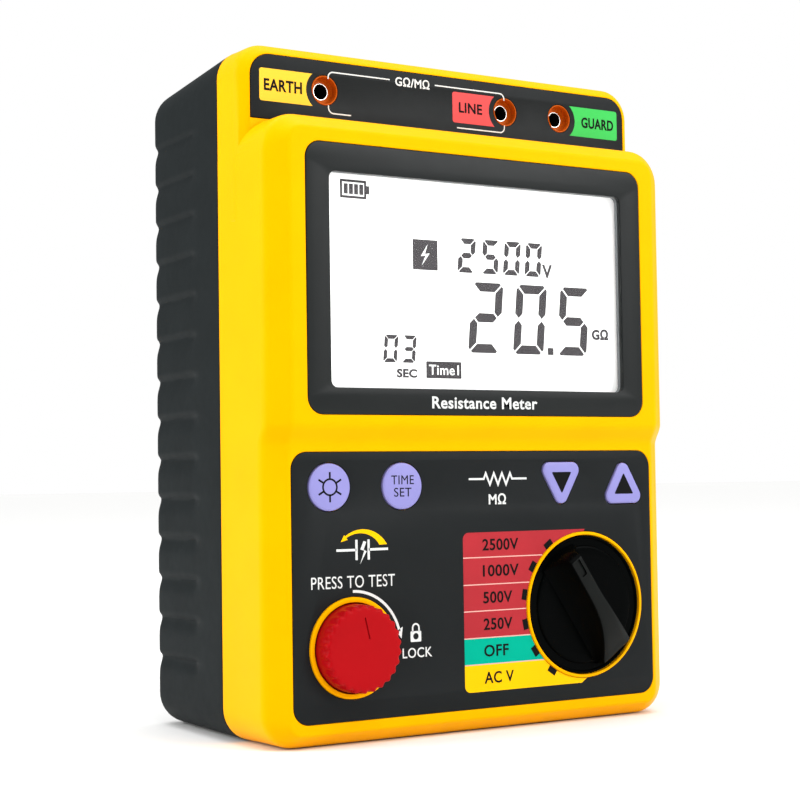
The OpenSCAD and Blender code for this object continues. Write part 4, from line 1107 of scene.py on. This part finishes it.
def test_button():
    """Red cap: its skirt, the dimples round its face, its hub and an engraved mark."""
    teeth, front = 26, CAP_FRONT
    skin, hub_r, spigot_r = 1.8, 4.6, 2.56
    edge = [(-3.4, 0), (-2.5, 0), (-1.5, 0), (-0.8, 0.02), (-0.3, 0.14), (0, 0.5), (0.02, 1.1), (0.04, 1.7),
            (0.06, 2.3), (0.08, 3.0), (0.1, 4.4)]
    profile = [(0, front)] + [(CAP_R + grow, front + behind) for grow, behind in edge]
    profile += [(CAP_R + 0.2, CAP_SKIRT - 0.3), (CAP_R, CAP_SKIRT), (CAP_R - skin, CAP_SKIRT),
                (CAP_R - skin, front + skin), (hub_r, front + skin), (hub_r, Y_CONTROL - 0.1),
                (spigot_r, Y_CONTROL - 0.1), (spigot_r, front + skin), (0, front + skin)]
    depth = {3: 0.5, 4: 0.8, 5: 0.95, 6: 1.0, 7: 0.92, 8: 0.72, 9: 0.42, 10: 0.1}

    def dimple(index, angle):
        return depth.get(index, 0) * 0.34 * (1 + cos(teeth * angle))

    cap = lathe("test_button", profile, BUTTON_X, BUTTON_Z, teeth * 14, dimple)
    mark = bar(BUTTON_X + 1.6, BUTTON_Z + 2.8, BUTTON_X + 0.1, BUTTON_Z + 9.0, 0.42)
    combine(cap, prism("mark", mark, front - 1, front + 0.4))
    place(cap, RED, "test_cap", "red_cap", ["test_cap"], 40)


def return_spring():
    """Coil under the test button's flange, carried with the test plunger."""
    low, high = span("test_spring")
    wire, turns, steps, sides = 0.35, 3.5, 36, 10
    coil_r = (high[0] - low[0]) / 2 - wire
    first, last = low[1] + wire, high[1] - wire
    rings = []
    count = int(turns * steps)
    for i in range(count + 1):
        angle = 2 * pi * i / steps
        y = first + (last - first) * i / count
        rings.append([(BUTTON_X + (coil_r + wire * cos(a)) * cos(angle), y + wire * sin(a),
                       BUTTON_Z + (coil_r + wire * cos(a)) * sin(angle))
                      for a in [2 * pi * k / sides for k in range(sides)]])
    coil = place(loft("return_spring", rings), STEEL, "test_plunger", "steel_parts", ["test_spring"], 60)
    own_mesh(coil)


def socket(name):
    """One 4 mm socket: an orange insulator with a cup round its plated sleeve."""
    x, z = SOCKETS[name]
    low, high = span("socket_body_" + name)
    sleeve_low, sleeve_high = span("socket_sleeve_" + name)
    y, cup = low[1], sleeve_low[1]
    bore, ring, cup_r, nose_r, thread_r = 2.0, 2.6, 4.0, 4.45, 5.6
    y_step = Y_DECK + PANEL_T
    cupped = [(ring, cup), (cup_r - 0.25, cup), (cup_r, cup - 0.25), (cup_r, y + 0.2),
              (cup_r + 0.1, y + 0.04), (cup_r + 0.25, y), (cup_r + 0.35, y + 0.03), (nose_r, y + 0.2),
              (nose_r, y_step), (thread_r, y_step), (thread_r, high[1]), (ring, high[1])]
    body = lathe("insulator_" + name, cupped, x, z, closed=True)
    place(body, ORANGE, "case", "insulator", ["socket_body_" + name])
    tube = [(bore, cup + 0.3), (bore + 0.12, cup + 0.08), (bore + 0.3, cup), (ring - 0.15, cup),
            (ring, cup + 0.15), (ring, sleeve_high[1]), (bore, sleeve_high[1])]
    sleeve = lathe("sleeve_" + name, tube, x, z, closed=True)
    place(sleeve, BRIGHT_METAL, "case", "brass_parts", ["socket_sleeve_" + name])
    # The bore and its first chamfer are painted near black over the plated sleeve: painted shadow inside
    # the hole.
    sleeve.data.materials.append(BORE_SHADOW)
    for face in sleeve.data.polygons:
        off_axis = hypot(face.center.x / MM - x, face.center.z / MM - z)
        face.material_index = 1 if off_axis < bore + 0.25 else 0


# ---------- stage, lights and camera ----------

def stage():
    size = 30.0
    work = bmesh.new()
    bmesh.ops.create_grid(work, x_segments=8, y_segments=8, size=size / 2)
    mesh = bpy.data.meshes.new("floor")
    work.to_mesh(mesh)
    work.free()
    floor = new_object("floor", mesh)
    floor.location.z = -0.2 * MM
    floor.data.materials.append(FLOOR)


def soft_light(name, place_at, target, size, watts):
    """Square softbox that faces a point, in metres."""
    lamp = bpy.data.lights.new(name, "AREA")
    lamp.shape = "SQUARE"
    lamp.size = size
    lamp.energy = watts
    obj = new_object(name, lamp)
    obj.location = place_at
    aim = Vector(target) - Vector(place_at)
    obj.rotation_euler = aim.to_track_quat("-Z", "Y").to_euler()


def lights():
    world = bpy.data.worlds.new("studio")
    bpy.context.scene.world = world
    world.use_nodes = True
    nodes, links = world.node_tree.nodes, world.node_tree.links
    back = nodes["Background"]
    back.inputs["Color"].default_value = (1, 1, 1, 1)
    back.inputs["Strength"].default_value = 0.4
    seen = nodes.new("ShaderNodeBackground")
    seen.inputs["Strength"].default_value = 1.0
    seen.inputs["Color"].default_value = (1, 1, 1, 1)
    rays = nodes.new("ShaderNodeLightPath")
    mix = nodes.new("ShaderNodeMixShader")
    links.new(rays.outputs["Is Camera Ray"], mix.inputs["Fac"])
    links.new(back.outputs["Background"], mix.inputs[1])
    links.new(seen.outputs["Background"], mix.inputs[2])
    links.new(mix.outputs["Shader"], nodes["World Output"].inputs["Surface"])
    middle = (0, 0, 0.1)
    soft_light("left softbox", (-1.5, 0.5, 0.75), middle, 1.2, 25)
    soft_light("right softbox", (0.95, -1.4, 0.9), middle, 1.2, 23)
    soft_light("upper softbox", (-0.05, -0.4, 0.52), (0, 0, 0.21), 0.3, 0.7)
    overhead = bpy.data.lights.new("overhead light", "SUN")
    overhead.energy = 2.6
    overhead.angle = radians(70)
    new_object("overhead light", overhead)


def camera():
    """Camera where the photo was taken from: its place in metres, and its turns in degrees."""
    place_at = (-0.31358, -0.48124, 0.07528)
    yaw, pitch, roll = radians(32.732), radians(2.549), radians(-0.845)
    look = Vector((sin(yaw) * cos(pitch), cos(yaw) * cos(pitch), sin(pitch)))
    level = Vector((cos(yaw), -sin(yaw), 0))
    above = level.cross(look)
    right = level * cos(roll) + above * sin(roll)
    up = above * cos(roll) - level * sin(roll)
    data = bpy.data.cameras.new("camera")
    data.lens = 81.105
    data.sensor_width = 36
    obj = new_object("camera", data)
    turn = Matrix((right, up, -look)).transposed().to_4x4()
    obj.matrix_world = Matrix.Translation(place_at) @ turn
    bpy.context.scene.camera = obj


paint_cad_nodes()
front_shell()
board_posts()
rear_shell()
battery_cover()
rear_feet()
display()
control_panel()
terminal_panel()
words("bezel_caption", "Resistance Meter", -19.3, 19.3, 96.2, 99.8, Y_DISPLAY, INK_WHITE)
range_rows()
test_print()
resistor_print()
terminal_print()
key_caps()
lcd_contents()
knob()
test_button()
return_spring()
for socket_name in SOCKETS:
    socket(socket_name)
stage()
lights()
camera()
bpy.context.scene.view_settings.view_transform = "Standard"
